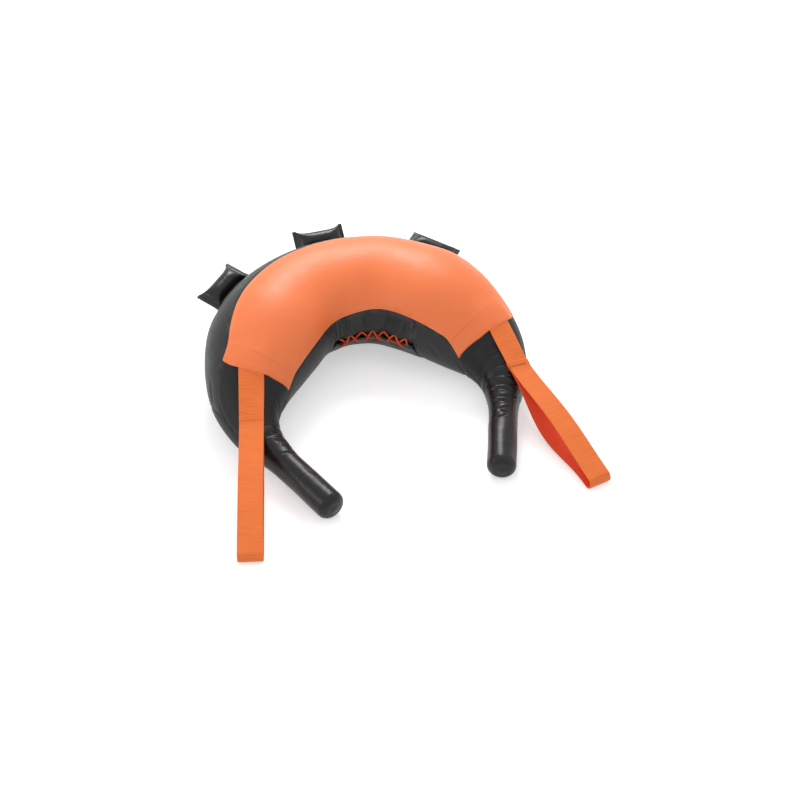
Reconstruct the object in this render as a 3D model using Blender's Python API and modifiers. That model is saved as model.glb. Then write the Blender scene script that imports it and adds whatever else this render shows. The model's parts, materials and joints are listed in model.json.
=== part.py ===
"""Crescent training bag lying on its back, with two grips, three padded handles and two strap loops.

The bag is a stuffed tube bent into a crescent. Its walls are panels sewn along
four seams, and every panel is laid out on one surface: a distance along the
bag's centre line, an angle round its section and a depth under its skin.
All lengths are in metres, +Z is up, and the arms point towards -Y.
"""

import math
from dataclasses import dataclass

import bmesh
import bpy
import numpy as np
from mathutils import Euler, Matrix, Vector

# Centre line of the bag, seen from above: crown arc, shoulder arcs, neck arcs.
CROWN_RADIUS = 0.187
CROWN_HALF_LENGTH = 0.144
SHOULDER_RADIUS = 0.483
SHOULDER_LENGTH = 0.181
NECK_BEND_RADIUS = 0.161
TOTAL_TURN = math.radians(114.5)
BEND_BLEND = 0.050
BODY_HALF_LENGTH = 0.465
CENTRE_LINE_STEP = 0.001

# Section of the bag: a circle flattened by its own weight, which tapers to the grips.
BODY_HALF_WIDTH = 0.1135
GRIP_RADIUS = 0.0262
TAPER_START = 0.182
TAPER_OVERRUN = 0.077
TAPER_END = BODY_HALF_LENGTH + TAPER_OVERRUN
FLATTENING = 0.07
SINKING = 0.07

# Seams, as angles round the section: 0 faces out of the crescent, 90 up, 180 into it.
FRONT_OUTER_SEAM = math.radians(51.5)
FRONT_INNER_SEAM = math.radians(162)
BACK_INNER_SEAM = math.radians(250)
BACK_OUTER_SEAM = math.radians(320)
OUTER_GUSSET_TIP = math.radians(20)
INNER_GUSSET_TIP = math.radians(190)
GUSSET_END_MARGIN = 0.077
GUSSET_POINT_LENGTH = 0.088
GUSSET_TIP_OVERRUN = 0.022
GUSSET_END = BODY_HALF_LENGTH - GUSSET_END_MARGIN
GUSSET_TAPER_START = GUSSET_END - GUSSET_POINT_LENGTH
GUSSET_TAPER_END = GUSSET_END + GUSSET_TIP_OVERRUN

# Twist of the front in the stuffed bag: its seams lie higher on one side than on the other.
OUTER_TWIST = math.radians(13.5)
INNER_TWIST = math.radians(4)
TWIST_START = -0.050
TWIST_END = 0.200

# Layers of the wall.
COVER_THICKNESS = 0.0022
FRONT_PANEL_THICKNESS = 0.0018
TONGUE_THICKNESS = 0.0018
LAYER_GAP = 0.0005
TONGUE_GAP = 0.0010
SEAM_GAP = 0.0008
FILLER_CLEARANCE = 0.0012
FILLER_END_GAP = 0.003

# Front panel, which leaves the necks bare and has its ends cut straight and hemmed over the straps.
PANEL_END_MARGIN = 0.128
PANEL_HALF_LENGTH = BODY_HALF_LENGTH - PANEL_END_MARGIN
PANEL_OFFSET = 0.006
PANEL_END_SLANT = 0.012
PANEL_END_BOW = 0.022
PANEL_END_REACH = 0.100
PANEL_END_SAMPLES = 61
HEM_LENGTH = 0.032
HEM_RAMP = 0.045
HEM_CLEARANCE = 0.0016

# Laced filling slit in the middle section of the inner gusset, which ends at two cross seams.
LACED_MIDDLE = 0.066
LACED_HALF_LENGTH = 0.165
SLIT_ANGLE = math.radians(196)
SLIT_HALF_LENGTH = 0.150
SLIT_HALF_OPENING = 0.006
TONGUE_HALF_LENGTH = 0.160
TONGUE_HALF_WIDTH = 0.026
LACE_DIAMETER = 0.0035
LACE_ROW_HALF_SPACING = 0.012
LACE_HALF_SPAN = 0.074
LACE_CROSSINGS = 6
LACE_POINTS_PER_CROSSING = 6
LACE_END_POINTS = 5
LACE_END_BULGE = 0.5
SLIT_SAMPLES = 81

# Three sand fillers inside the covers.
CENTRE_FILLER_HALF_LENGTH = 0.150

# Grips: a stuffed tube with a ball root, and a cap sewn on its end.
GRIP_LENGTH = 0.192
GRIP_WALL = 0.0020
GRIP_CORE_CLEARANCE = 0.0008
BALL_CLEARANCE = 0.0018
BALL_MOUTH_RADIUS = 0.012
CAP_THICKNESS = 0.0060
CAP_ROUNDING = 0.0025
CAP_GAP = 0.0004
GRIP_FLOOR_GAP = 0.0006

# Straps: flat webbing held under the hem, a tab on the body, and a loop to the strap's whole reach.
WEBBING_WIDTH = 0.045
WEBBING_THICKNESS = 0.0024
STRAP_ROOT_LENGTH = 0.024
STRAP_HEM_OFFSET = 0.0070
STRAP_REACH = 0.360
STRAP_HINGE_GAP = 0.0003
STRAP_BODY_GAP = 0.0014
LOOP_BODY_GAP = 0.0019
LOOP_FOLD_RADIUS = 0.0110
LOOP_PLY_GAP = 0.0004
LOOP_FLOOR_GAP = 0.0005

# Padded handles on the outer gusset.
HANDLE_HALF_LENGTH = 0.053
HANDLE_TUBE_RADIUS = 0.0185
HANDLE_TUBE_OFFSET = 0.0020
HANDLE_FLANGE_LENGTH = 0.007
HANDLE_FLANGE_HALF_THICKNESS = 0.0016
HANDLE_PINCH_LENGTH = 0.030
HANDLE_FOLD_ANGLE = math.radians(60)
HANDLE_WALL = 0.0012
HANDLE_CORE_CLEARANCE = 0.0008
HANDLE_SEAM_GAP = math.radians(7)
HANDLE_BASE_HEIGHT = 0.020
HANDLE_STAND_OFF = 0.0050

# Counts of faces along and round the pieces.
STATION_SPACING = 0.024
FRONT_STEPS_ROUND = 10
GUSSET_STEPS_ROUND = 7
BACK_STEPS_ROUND = 6
FLAP_STEPS_ROUND = 4
FILLER_STEPS_ROUND = 20
GRIP_SIDES = 24
BALL_STEPS = 7
CAP_ROUNDING_STEPS = 3
HANDLE_SIDES = 16
PINCH_STEPS = 4
ROOT_STEPS = 3
TAB_STEPS = 8
PLY_STEPS = 17
FOLD_STEPS = 6
STRAP_STEPS_ACROSS = 4
LOOP_STEPS_ACROSS = 2

# Distances below which two points are one.
WELD = 0.00001

PART_NAME = "bulgarian_bag"


@dataclass(frozen=True)
class Side:
    """A side of the bag: which way it lies, and how its strap leaves the hem, is tacked and hangs."""

    name: str
    sign: int
    strap_angle: float
    heading: float
    roll: float
    tab_length: float
    sag: float
    arch: float

    @property
    def loop_length(self):
        """Length of the strap's loop, from its tack to its fold."""
        return STRAP_REACH - self.tab_length


@dataclass(frozen=True)
class Handle:
    """A padded handle: its place along the bag, the lift of its loose edge and its tilt."""

    name: str
    distance: float
    lift: float
    tilt: float


SIDES = (
    Side("left", -1, strap_angle=math.radians(98), heading=math.radians(15), roll=math.radians(3),
         tab_length=0.077, sag=0.006, arch=0.004),
    Side("right", 1, strap_angle=math.radians(81), heading=math.radians(11), roll=math.radians(8),
         tab_length=0.069, sag=0.030, arch=0.008),
)

HANDLES = (
    Handle("left", -0.143, lift=math.radians(14), tilt=math.radians(-10)),
    Handle("middle", 0.0, lift=math.radians(40), tilt=0.0),
    Handle("right", 0.142, lift=math.radians(3), tilt=math.radians(10)),
)

MATERIALS = {
    "front_vinyl": ((0.035, 0.034, 0.036, 1), 0.45),
    "gusset_vinyl": ((0.075, 0.074, 0.078, 1), 0.50),
    "panel_vinyl": ((0.86, 0.26, 0.07, 1), 0.40),
    "grip_vinyl": ((0.030, 0.024, 0.024, 1), 0.25),
    "handle_vinyl": ((0.020, 0.020, 0.021, 1), 0.25),
    "webbing": ((0.90, 0.25, 0.06, 1), 0.75),
    "lace_cord": ((0.85, 0.22, 0.08, 1), 0.70),
    "sand_bag": ((0.55, 0.50, 0.42, 1), 0.90),
    "stuffing": ((0.70, 0.70, 0.68, 1), 0.95),
}


def smooth_fall(value, start, end):
    """Fall smoothly from 1 at start to 0 at end."""
    share = np.clip((value - start) / (end - start), 0.0, 1.0)
    return 0.5 + 0.5 * np.cos(math.pi * share)


class CentreLine:
    """The bag's centre line, as samples of place and heading by distance from the apex."""

    def __init__(self):
        reach = BODY_HALF_LENGTH + 2 * BEND_BLEND
        half_window = round(BEND_BLEND / CENTRE_LINE_STEP)
        half_count = round(reach / CENTRE_LINE_STEP)
        padded = np.arange(-half_count - half_window, half_count + half_window + 1)
        window = np.hanning(2 * half_window + 3)[1:-1]
        window /= window.sum()
        heading = np.convolve(self.raw_heading(padded * CENTRE_LINE_STEP), window, "valid")
        self.distance = np.arange(-half_count, half_count + 1) * CENTRE_LINE_STEP
        self.heading = heading
        self.x = self.running_sum(np.cos(heading))
        self.y = self.running_sum(-np.sin(heading))

    @staticmethod
    def raw_heading(distance):
        """Heading before its corners are smoothed: the arcs one after another."""
        along = np.abs(distance)
        crown = np.minimum(along, CROWN_HALF_LENGTH) / CROWN_RADIUS
        shoulder = np.clip(along - CROWN_HALF_LENGTH, 0, SHOULDER_LENGTH) / SHOULDER_RADIUS
        neck = np.maximum(along - CROWN_HALF_LENGTH - SHOULDER_LENGTH, 0) / NECK_BEND_RADIUS
        return np.sign(distance) * np.minimum(crown + shoulder + neck, TOTAL_TURN)

    def running_sum(self, slope):
        """Sum a slope along the line, with zero at the apex."""
        steps = 0.5 * (slope[1:] + slope[:-1]) * CENTRE_LINE_STEP
        total = np.concatenate([[0.0], np.cumsum(steps)])
        return total - total[len(total) // 2]

    def place(self, distance):
        """Plan position, direction along the line and direction out of the crescent."""
        x = np.interp(distance, self.distance, self.x)
        y = np.interp(distance, self.distance, self.y)
        turn = np.interp(distance, self.distance, self.heading)
        along = Vector((math.cos(turn), -math.sin(turn), 0))
        outward = Vector((math.sin(turn), math.cos(turn), 0))
        return Vector((x, y, 0)), along, outward

    def nearest(self, point):
        """Distance along the line nearest to a plan point, and how far out of the line it is."""
        inside = np.abs(self.distance) <= BODY_HALF_LENGTH
        gap = (self.x - point.x) ** 2 + (self.y - point.y) ** 2
        gap[~inside] = np.inf
        sample = self.distance[int(np.argmin(gap))]
        flat = Vector((point.x, point.y, 0))
        place, along, _ = self.place(sample)
        distance = min(max(sample + (flat - place).dot(along), -BODY_HALF_LENGTH), BODY_HALF_LENGTH)
        place, _, outward = self.place(distance)
        return distance, (flat - place).dot(outward)


LINE = CentreLine()


def section(distance):
    """Half width, half height and middle height of the bag's section."""
    fullness = float(smooth_fall(abs(distance), TAPER_START, TAPER_END))
    half_width = GRIP_RADIUS + (BODY_HALF_WIDTH - GRIP_RADIUS) * fullness
    half_height = half_width * (1 - FLATTENING * fullness)
    return half_width, half_height, half_height * (1 - SINKING * fullness)


def body_point(distance, angle, depth=0.0):
    """Point of the bag's surface, at a depth under its skin, never lower than the floor allows."""
    place, _, outward = LINE.place(distance)
    half_width, half_height, middle = section(distance)
    point = place + outward * ((half_width - depth) * math.cos(angle))
    point.z = max(middle + (half_height - depth) * math.sin(angle), depth)
    return point


def surface_over(point, lift=0.0):
    """Point lifted off the bag's upper surface over a plan point, or None beside the bag."""
    distance, out = LINE.nearest(point)
    half_width = section(distance)[0]
    if abs(out) >= half_width:
        return None
    return body_point(distance, math.acos(out / half_width), -lift)


def gusset_width(distance):
    """Share of its full width that a gusset has at a distance along the bag."""
    return float(smooth_fall(abs(distance), GUSSET_TAPER_START, GUSSET_TAPER_END))


def twist(distance):
    """Share of the front's twist at a distance along the bag, from 1 on the left to -1 on the right."""
    return 2 * float(smooth_fall(distance, TWIST_START, TWIST_END)) - 1


def seam_angle(distance, full_angle, tip_angle):
    """Angle of a seam, which runs to its gusset's tip as the gusset tapers."""
    return tip_angle + (full_angle - tip_angle) * gusset_width(distance)


def front_outer(distance):
    """Seam between the outer gusset and the front."""
    return seam_angle(distance, FRONT_OUTER_SEAM + OUTER_TWIST * twist(distance), OUTER_GUSSET_TIP)


def front_inner(distance):
    """Seam between the front and the inner gusset."""
    return seam_angle(distance, FRONT_INNER_SEAM + INNER_TWIST * twist(distance), INNER_GUSSET_TIP)


def back_inner(distance):
    """Seam between the inner gusset and the back."""
    return seam_angle(distance, BACK_INNER_SEAM, INNER_GUSSET_TIP)


def back_outer(distance):
    """Seam between the back and the outer gusset, a whole turn after that gusset's tip."""
    return seam_angle(distance, BACK_OUTER_SEAM, OUTER_GUSSET_TIP + 2 * math.pi)


def slit_middle(distance):
    """Middle of the laced slit, which takes part in the twist."""
    return SLIT_ANGLE + INNER_TWIST * twist(distance)


def slit_half_angle(distance):
    """Half of the slit's opening, closing towards its ends, plus half a seam's gap."""
    share = min(abs(distance - LACED_MIDDLE) / SLIT_HALF_LENGTH, 1.0)
    opening = SLIT_HALF_OPENING * math.sqrt(1 - share ** 2) + SEAM_GAP / 2
    return opening / section(distance)[0]


def slit_upper(distance):
    """Edge of the laced slit on the front's side."""
    return slit_middle(distance) - slit_half_angle(distance)


def slit_lower(distance):
    """Edge of the laced slit on the back's side."""
    return slit_middle(distance) + slit_half_angle(distance)


def panel_shift(distance, share):
    """How far along the bag a point of the front panel moves, so that the panel's ends are straight.

    The share runs from 0 at the outer seam to 1 at the inner seam.
    """
    end_shift = PANEL_END_SLANT * share + PANEL_END_BOW * math.sin(math.pi * share)
    nearness = 1 - float(smooth_fall(abs(distance), PANEL_HALF_LENGTH - PANEL_END_REACH, PANEL_HALF_LENGTH))
    return (PANEL_OFFSET + math.copysign(end_shift, distance)) * nearness


def panel_end(sign, angle):
    """Distance along the bag of the front panel's end on one side, at an angle round the section."""
    angles = []
    ends = []
    for share in np.linspace(0, 1, PANEL_END_SAMPLES):
        end = sign * PANEL_HALF_LENGTH
        end += panel_shift(end, share)
        angles.append(front_outer(end) + (front_inner(end) - front_outer(end)) * share)
        ends.append(end)
    return float(np.interp(angle, angles, ends))


class Workshop:
    """The collection, materials and helpers that every piece is made with."""

    def __init__(self):
        for old in list(bpy.data.objects):
            bpy.data.objects.remove(old, do_unlink=True)
        self.collection = bpy.data.collections.new(PART_NAME)
        bpy.context.scene.collection.children.link(self.collection)
        self.root = bpy.data.objects.new("bag_on_floor", None)
        self.collection.objects.link(self.root)
        self.materials = {name: self.material(name, *look) for name, look in MATERIALS.items()}

    @staticmethod
    def material(name, colour, roughness):
        """A plain finish of one colour."""
        made = bpy.data.materials.new(name)
        made.use_nodes = True
        shader = made.node_tree.nodes["Principled BSDF"]
        shader.inputs["Base Color"].default_value = colour
        shader.inputs["Roughness"].default_value = roughness
        made.diffuse_color = colour
        return made

    def add(self, name, data, material, origin=Vector(), turn=None):
        """Put a mesh or curve in the bag's collection, with its origin on its joint's axis."""
        data.materials.append(self.materials[material])
        made = bpy.data.objects.new(name, data)
        made.location = origin
        if turn is not None:
            made.rotation_mode = "QUATERNION"
            made.rotation_quaternion = turn
        made.parent = self.root
        self.collection.objects.link(made)
        return made

    def add_bmesh(self, name, shape, material, origin=Vector(), turn=None):
        """Put a modelled shape in the bag's collection, shaded smooth."""
        data = bpy.data.meshes.new(name)
        shape.to_mesh(data)
        shape.free()
        data.shade_smooth()
        return self.add(name, data, material, origin, turn)


def mapped_grid(steps_along, steps_across, place):
    """A grid whose points are placed by a function of two shares from 0 to 1."""
    shape = bmesh.new()
    bmesh.ops.create_grid(shape, x_segments=steps_along, y_segments=steps_across, size=0.5)
    for vertex in shape.verts:
        vertex.co = place(vertex.co.x + 0.5, vertex.co.y + 0.5)
    return shape


def face_outwards(shape):
    """Turn the faces of a closed shape so that they all point out."""
    bmesh.ops.recalc_face_normals(shape, faces=shape.faces)
    if shape.calc_volume(signed=True) < 0:
        bmesh.ops.reverse_faces(shape, faces=shape.faces)


def close_tube(shape):
    """Weld a grid that was wrapped round, and cap its two ends."""
    bmesh.ops.remove_doubles(shape, verts=shape.verts, dist=WELD)
    bmesh.ops.holes_fill(shape, edges=shape.edges)
    face_outwards(shape)


def thicken(piece, thickness, offset):
    """Give an open sheet its thickness: offset 1 builds outwards, 0 to both sides."""
    wall = piece.modifiers.new("wall", "SOLIDIFY")
    wall.thickness = thickness
    wall.offset = offset
    wall.use_even_offset = True


def stations(start, end):
    """Distances along the bag between two ends, the same for every panel that lies there."""
    marks = sorted([0.0, LACED_HALF_LENGTH - LACED_MIDDLE, CENTRE_FILLER_HALF_LENGTH,
                    LACED_HALF_LENGTH + LACED_MIDDLE, PANEL_HALF_LENGTH, GUSSET_END, BODY_HALF_LENGTH])
    shared = [0.0]
    for low, high in zip(marks, marks[1:]):
        count = math.ceil((high - low) / STATION_SPACING)
        shared.extend(low + (high - low) * step / count for step in range(1, count + 1))
    shared = sorted([-distance for distance in shared[1:]] + shared)
    inner = [distance for distance in shared if start + SEAM_GAP < distance < end - SEAM_GAP]
    return [start] + inner + [end]


def body_sheet(start, end, steps_round, place):
    """A grid over the bag, with a row of points at each shared station."""
    rows = stations(start, end)
    last = len(rows) - 1
    return mapped_grid(last, steps_round, lambda along, across: place(rows[round(along * last)], across))


def no_shift(_distance, _share):
    """Leave the points of a panel at their own distances along the bag."""
    return 0.0


def wall_panel(shop, name, material, start, end, low_seam, high_seam, steps_round, thickness, depth,
               shift=no_shift):
    """A sewn panel between two distances and two seams, its inner face at the given depth."""

    def place(distance, across):
        moved = distance + shift(distance, 1 - across)
        trim = SEAM_GAP / 2 / section(moved)[0]
        low = low_seam(moved) + trim
        high = high_seam(moved) - trim
        return body_point(moved, high + (low - high) * across, depth(distance))

    shape = body_sheet(start, end, steps_round, place)
    piece = shop.add_bmesh(name, shape, material)
    thicken(piece, thickness, 1)
    return piece


def cover_depth(_distance):
    """Depth of a cover's inner face, whose outer face is the bag's surface."""
    return COVER_THICKNESS


def front_panel_depth(distance):
    """Depth of the front panel's inner face, which rises over the straps at its hemmed ends."""
    hem_start = PANEL_HALF_LENGTH - HEM_LENGTH
    rise = 1 - float(smooth_fall(abs(distance), hem_start - HEM_RAMP, hem_start))
    return -LAYER_GAP - (WEBBING_THICKNESS + LAYER_GAP + HEM_CLEARANCE) * rise


def build_covers(shop):
    """The sewn walls of the bag, and the front panel over them."""
    ends = (-BODY_HALF_LENGTH, BODY_HALF_LENGTH)
    wall_panel(shop, "front_cover", "front_vinyl", *ends, front_outer, front_inner,
               FRONT_STEPS_ROUND, COVER_THICKNESS, cover_depth)
    wall_panel(shop, "back_cover", "front_vinyl", *ends, back_inner, back_outer,
               BACK_STEPS_ROUND, COVER_THICKNESS, cover_depth)
    wall_panel(shop, "outer_gusset", "gusset_vinyl", -GUSSET_END, GUSSET_END,
               lambda distance: back_outer(distance) - 2 * math.pi, front_outer,
               GUSSET_STEPS_ROUND, COVER_THICKNESS, cover_depth)
    left_seam = LACED_MIDDLE - LACED_HALF_LENGTH
    right_seam = LACED_MIDDLE + LACED_HALF_LENGTH
    wall_panel(shop, "inner_gusset_left", "gusset_vinyl", -GUSSET_END, left_seam - SEAM_GAP / 2,
               front_inner, back_inner, GUSSET_STEPS_ROUND, COVER_THICKNESS, cover_depth)
    wall_panel(shop, "inner_gusset_right", "gusset_vinyl", right_seam + SEAM_GAP / 2, GUSSET_END,
               front_inner, back_inner, GUSSET_STEPS_ROUND, COVER_THICKNESS, cover_depth)
    flap_ends = (left_seam + SEAM_GAP / 2, right_seam - SEAM_GAP / 2)
    wall_panel(shop, "lace_flap_upper", "gusset_vinyl", *flap_ends,
               front_inner, slit_upper, FLAP_STEPS_ROUND, COVER_THICKNESS, cover_depth)
    wall_panel(shop, "lace_flap_lower", "gusset_vinyl", *flap_ends,
               slit_lower, back_inner, FLAP_STEPS_ROUND + 1, COVER_THICKNESS, cover_depth)
    wall_panel(shop, "front_panel", "panel_vinyl", -PANEL_HALF_LENGTH, PANEL_HALF_LENGTH,
               front_outer, front_inner, FRONT_STEPS_ROUND, FRONT_PANEL_THICKNESS, front_panel_depth,
               panel_shift)


def build_lacing(shop):
    """The tongue behind the slit, and one cord laced across it and back."""
    tongue_angle = TONGUE_HALF_WIDTH / BODY_HALF_WIDTH
    tongue_ends = (LACED_MIDDLE - TONGUE_HALF_LENGTH, LACED_MIDDLE + TONGUE_HALF_LENGTH)
    wall_panel(shop, "lace_tongue", "front_vinyl", *tongue_ends,
               lambda distance: slit_middle(distance) - tongue_angle,
               lambda distance: slit_middle(distance) + tongue_angle,
               FLAP_STEPS_ROUND, TONGUE_THICKNESS,
               lambda _distance: COVER_THICKNESS + TONGUE_GAP + TONGUE_THICKNESS)

    samples = LACED_MIDDLE + np.linspace(-SLIT_HALF_LENGTH, SLIT_HALF_LENGTH, SLIT_SAMPLES)
    inner_edge = [body_point(distance, slit_middle(distance)) for distance in samples]
    runs = [(b - a).length for a, b in zip(inner_edge, inner_edge[1:])]
    walked = np.concatenate([[0.0], np.cumsum(runs)]) - sum(runs) / 2
    low = LACE_DIAMETER / 2 + LAYER_GAP
    row_angle = LACE_ROW_HALF_SPACING / BODY_HALF_WIDTH

    def lace_point(crossing, wave, height):
        """Point of the lace after so many crossings, at a share of its rows' spacing."""
        share = 2 * crossing / LACE_CROSSINGS - 1
        distance = float(np.interp(share * LACE_HALF_SPAN, walked, samples))
        return body_point(distance, slit_middle(distance) - row_angle * wave, -height)

    count = LACE_CROSSINGS * LACE_POINTS_PER_CROSSING
    points = []
    for step in range(count + 1):
        crossing = step / LACE_POINTS_PER_CROSSING
        points.append(lace_point(crossing, math.cos(math.pi * crossing), low))
    last_wave = math.cos(math.pi * LACE_CROSSINGS)
    for step in range(1, LACE_END_POINTS):
        turn = math.pi * step / LACE_END_POINTS
        bulge = LACE_END_BULGE * math.sin(turn)
        points.append(lace_point(LACE_CROSSINGS + bulge, last_wave * math.cos(turn), low))
    for step in range(count, -1, -1):
        crossing = step / LACE_POINTS_PER_CROSSING
        wave = -math.cos(math.pi * crossing)
        over = (LACE_DIAMETER + LAYER_GAP) * (1 - wave ** 2)
        points.append(lace_point(crossing, wave, low + over))

    curve = bpy.data.curves.new("lacing", "CURVE")
    curve.dimensions = "3D"
    curve.bevel_depth = LACE_DIAMETER / 2
    curve.bevel_resolution = 2
    curve.use_fill_caps = True
    spline = curve.splines.new("POLY")
    spline.points.add(len(points) - 1)
    for knot, point in zip(spline.points, points):
        knot.co = (*point, 1)
    shop.add("lacing", curve, "lace_cord")


def ball_radius():
    """Radius of a grip's ball root, which turns inside the neck of the covers."""
    return section(BODY_HALF_LENGTH)[1] - COVER_THICKNESS - BALL_CLEARANCE


def build_fillers(shop):
    """Three sand bags that fill the covers from neck to neck."""
    depth = COVER_THICKNESS + TONGUE_GAP + TONGUE_THICKNESS + FILLER_CLEARANCE
    neck_end = BODY_HALF_LENGTH - ball_radius() - FILLER_END_GAP
    joint = CENTRE_FILLER_HALF_LENGTH
    spans = {
        "sand_filler_left": (-neck_end, -joint - FILLER_END_GAP),
        "sand_filler_centre": (-joint, joint),
        "sand_filler_right": (joint + FILLER_END_GAP, neck_end),
    }
    for name, (start, end) in spans.items():
        shape = body_sheet(start, end, FILLER_STEPS_ROUND,
                           lambda distance, across: body_point(distance, 2 * math.pi * across, depth))
        close_tube(shape)
        shop.add_bmesh(name, shape, "sand_bag")


def turned(shop, name, material, profile, closed, origin, turn):
    """Turn a profile of (radius, height) points about its Z axis."""
    shape = bmesh.new()
    points = [shape.verts.new((radius, 0, height)) for radius, height in profile]
    for first, second in zip(points, points[1:]):
        shape.edges.new((first, second))
    if closed:
        shape.edges.new((points[-1], points[0]))
    piece = shop.add_bmesh(name, shape, material, origin, turn)
    screw = piece.modifiers.new("turn", "SCREW")
    screw.axis = "Z"
    screw.steps = GRIP_SIDES
    screw.render_steps = GRIP_SIDES
    screw.use_merge_vertices = True
    screw.merge_threshold = WELD
    screw.use_smooth_shade = True
    return piece


def arc_points(radius, first, last, steps, height=0.0, out=0.0):
    """Points of an arc in a profile, by angle from its top."""
    angles = [first + (last - first) * step / steps for step in range(steps + 1)]
    return [(out + radius * math.sin(angle), height + radius * math.cos(angle)) for angle in angles]


def build_grip(shop, side):
    """One grip: sleeve, stuffed core and end cap, all turned about the grip's own axis."""
    distance = side.sign * BODY_HALF_LENGTH
    centre, along, _ = LINE.place(distance)
    centre.z = section(distance)[2]
    droop = math.asin((centre.z - GRIP_RADIUS - GRIP_FLOOR_GAP) / GRIP_LENGTH)
    axis = along * (side.sign * math.cos(droop)) - Vector((0, 0, math.sin(droop)))
    turn = axis.to_track_quat("Z", "Y")

    ball = ball_radius()
    shoulder = math.asin(GRIP_RADIUS / ball)
    mouth = math.pi - math.asin(BALL_MOUTH_RADIUS / ball)
    outer = [(GRIP_RADIUS, GRIP_LENGTH)] + arc_points(ball, shoulder, mouth, BALL_STEPS)
    inner_ball = ball - GRIP_WALL
    inner_tube = GRIP_RADIUS - GRIP_WALL
    inner_mouth = math.pi - math.asin(BALL_MOUTH_RADIUS / inner_ball)
    inner_shoulder = math.asin(inner_tube / inner_ball)
    inner = arc_points(inner_ball, inner_mouth, inner_shoulder, BALL_STEPS) + [(inner_tube, GRIP_LENGTH)]
    turned(shop, f"grip_sleeve_{side.name}", "grip_vinyl", outer + inner, True, centre, turn)

    core_ball = inner_ball - GRIP_CORE_CLEARANCE
    core_tube = inner_tube - GRIP_CORE_CLEARANCE
    core_shoulder = math.asin(core_tube / core_ball)
    core_end = GRIP_LENGTH - GRIP_CORE_CLEARANCE
    core = [(0, core_end), (core_tube, core_end)]
    core += arc_points(core_ball, core_shoulder, math.pi, BALL_STEPS)
    turned(shop, f"grip_core_{side.name}", "stuffing", core, False, centre, turn)

    cap_start = GRIP_LENGTH + CAP_GAP
    cap_top = cap_start + CAP_THICKNESS
    rounding = arc_points(CAP_ROUNDING, 0, math.pi / 2, CAP_ROUNDING_STEPS, cap_top - CAP_ROUNDING,
                          GRIP_RADIUS - CAP_ROUNDING)
    cap = [(0, cap_top)] + rounding + [(GRIP_RADIUS, cap_start), (0, cap_start)]
    turned(shop, f"grip_cap_{side.name}", "grip_vinyl", cap, False, centre, turn)


class StrapRoute:
    """Where one strap lies: over the body from the hem to its tack, then down to the floor."""

    def __init__(self, side):
        self.side = side
        self.run = Vector((side.sign * math.sin(side.heading), -math.cos(side.heading), 0))
        self.level = Vector((side.sign * math.cos(side.heading), math.sin(side.heading), 0))
        edge = body_point(panel_end(side.sign, side.strap_angle), side.strap_angle)
        self.start = Vector((edge.x, edge.y, 0)) + self.run * STRAP_HEM_OFFSET

    def flatness(self, along):
        """0 where the strap drapes over the body, 1 where it runs flat across."""
        return min(max(along / self.side.tab_length, 0.0), 1.0)

    def base_height(self, along):
        """Height of the body under a strap that runs flat across, at its middle, and its slope."""
        slope = -math.tan(self.side.roll * self.flatness(along))
        heights = []
        for across in np.linspace(-WEBBING_WIDTH / 2, WEBBING_WIDTH / 2, 2 * STRAP_STEPS_ACROSS + 1):
            below = surface_over(self.start + self.run * along + self.level * across)
            if below is not None:
                heights.append(below.z - slope * across)
        return max(heights), slope

    def webbing_point(self, along, across):
        """Middle of the webbing's thickness, at a length past the hem and across its width."""
        base, slope = self.base_height(along)
        level = self.start + self.run * along + self.level * across
        level.z = base + slope * across + LOOP_BODY_GAP + WEBBING_THICKNESS + LOOP_PLY_GAP / 2
        draped = surface_over(level, STRAP_BODY_GAP + WEBBING_THICKNESS / 2)
        return level if draped is None else draped.lerp(level, self.flatness(along))

    def line_across(self, along):
        """Line across the webbing past the hem: its point at mid width, and its direction."""
        inner = self.webbing_point(along, -WEBBING_WIDTH / 2)
        outer = self.webbing_point(along, WEBBING_WIDTH / 2)
        return self.webbing_point(along, 0), (outer - inner).normalized()


def loop_profile(side, flat_run):
    """A strap loop seen from its edge: upper ply, fold and lower ply, from tack to tack."""
    root_spread = (WEBBING_THICKNESS + LOOP_PLY_GAP) / 2
    shares = [step / PLY_STEPS for step in range(PLY_STEPS)]

    def ply_height(share, belly):
        opening = root_spread + (LOOP_FOLD_RADIUS - root_spread) * (1 - float(smooth_fall(share, 0, 1)))
        return opening + belly * math.sin(math.pi * share) ** 2

    upper = [(flat_run * share, ply_height(share, side.arch)) for share in shares]
    lower = [(flat_run * share, -ply_height(share, side.sag)) for share in reversed(shares)]
    fold = []
    for step in range(FOLD_STEPS + 1):
        turn = math.pi * step / FOLD_STEPS
        fold.append((flat_run + LOOP_FOLD_RADIUS * math.sin(turn), LOOP_FOLD_RADIUS * math.cos(turn)))
    return upper + fold + lower


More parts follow.
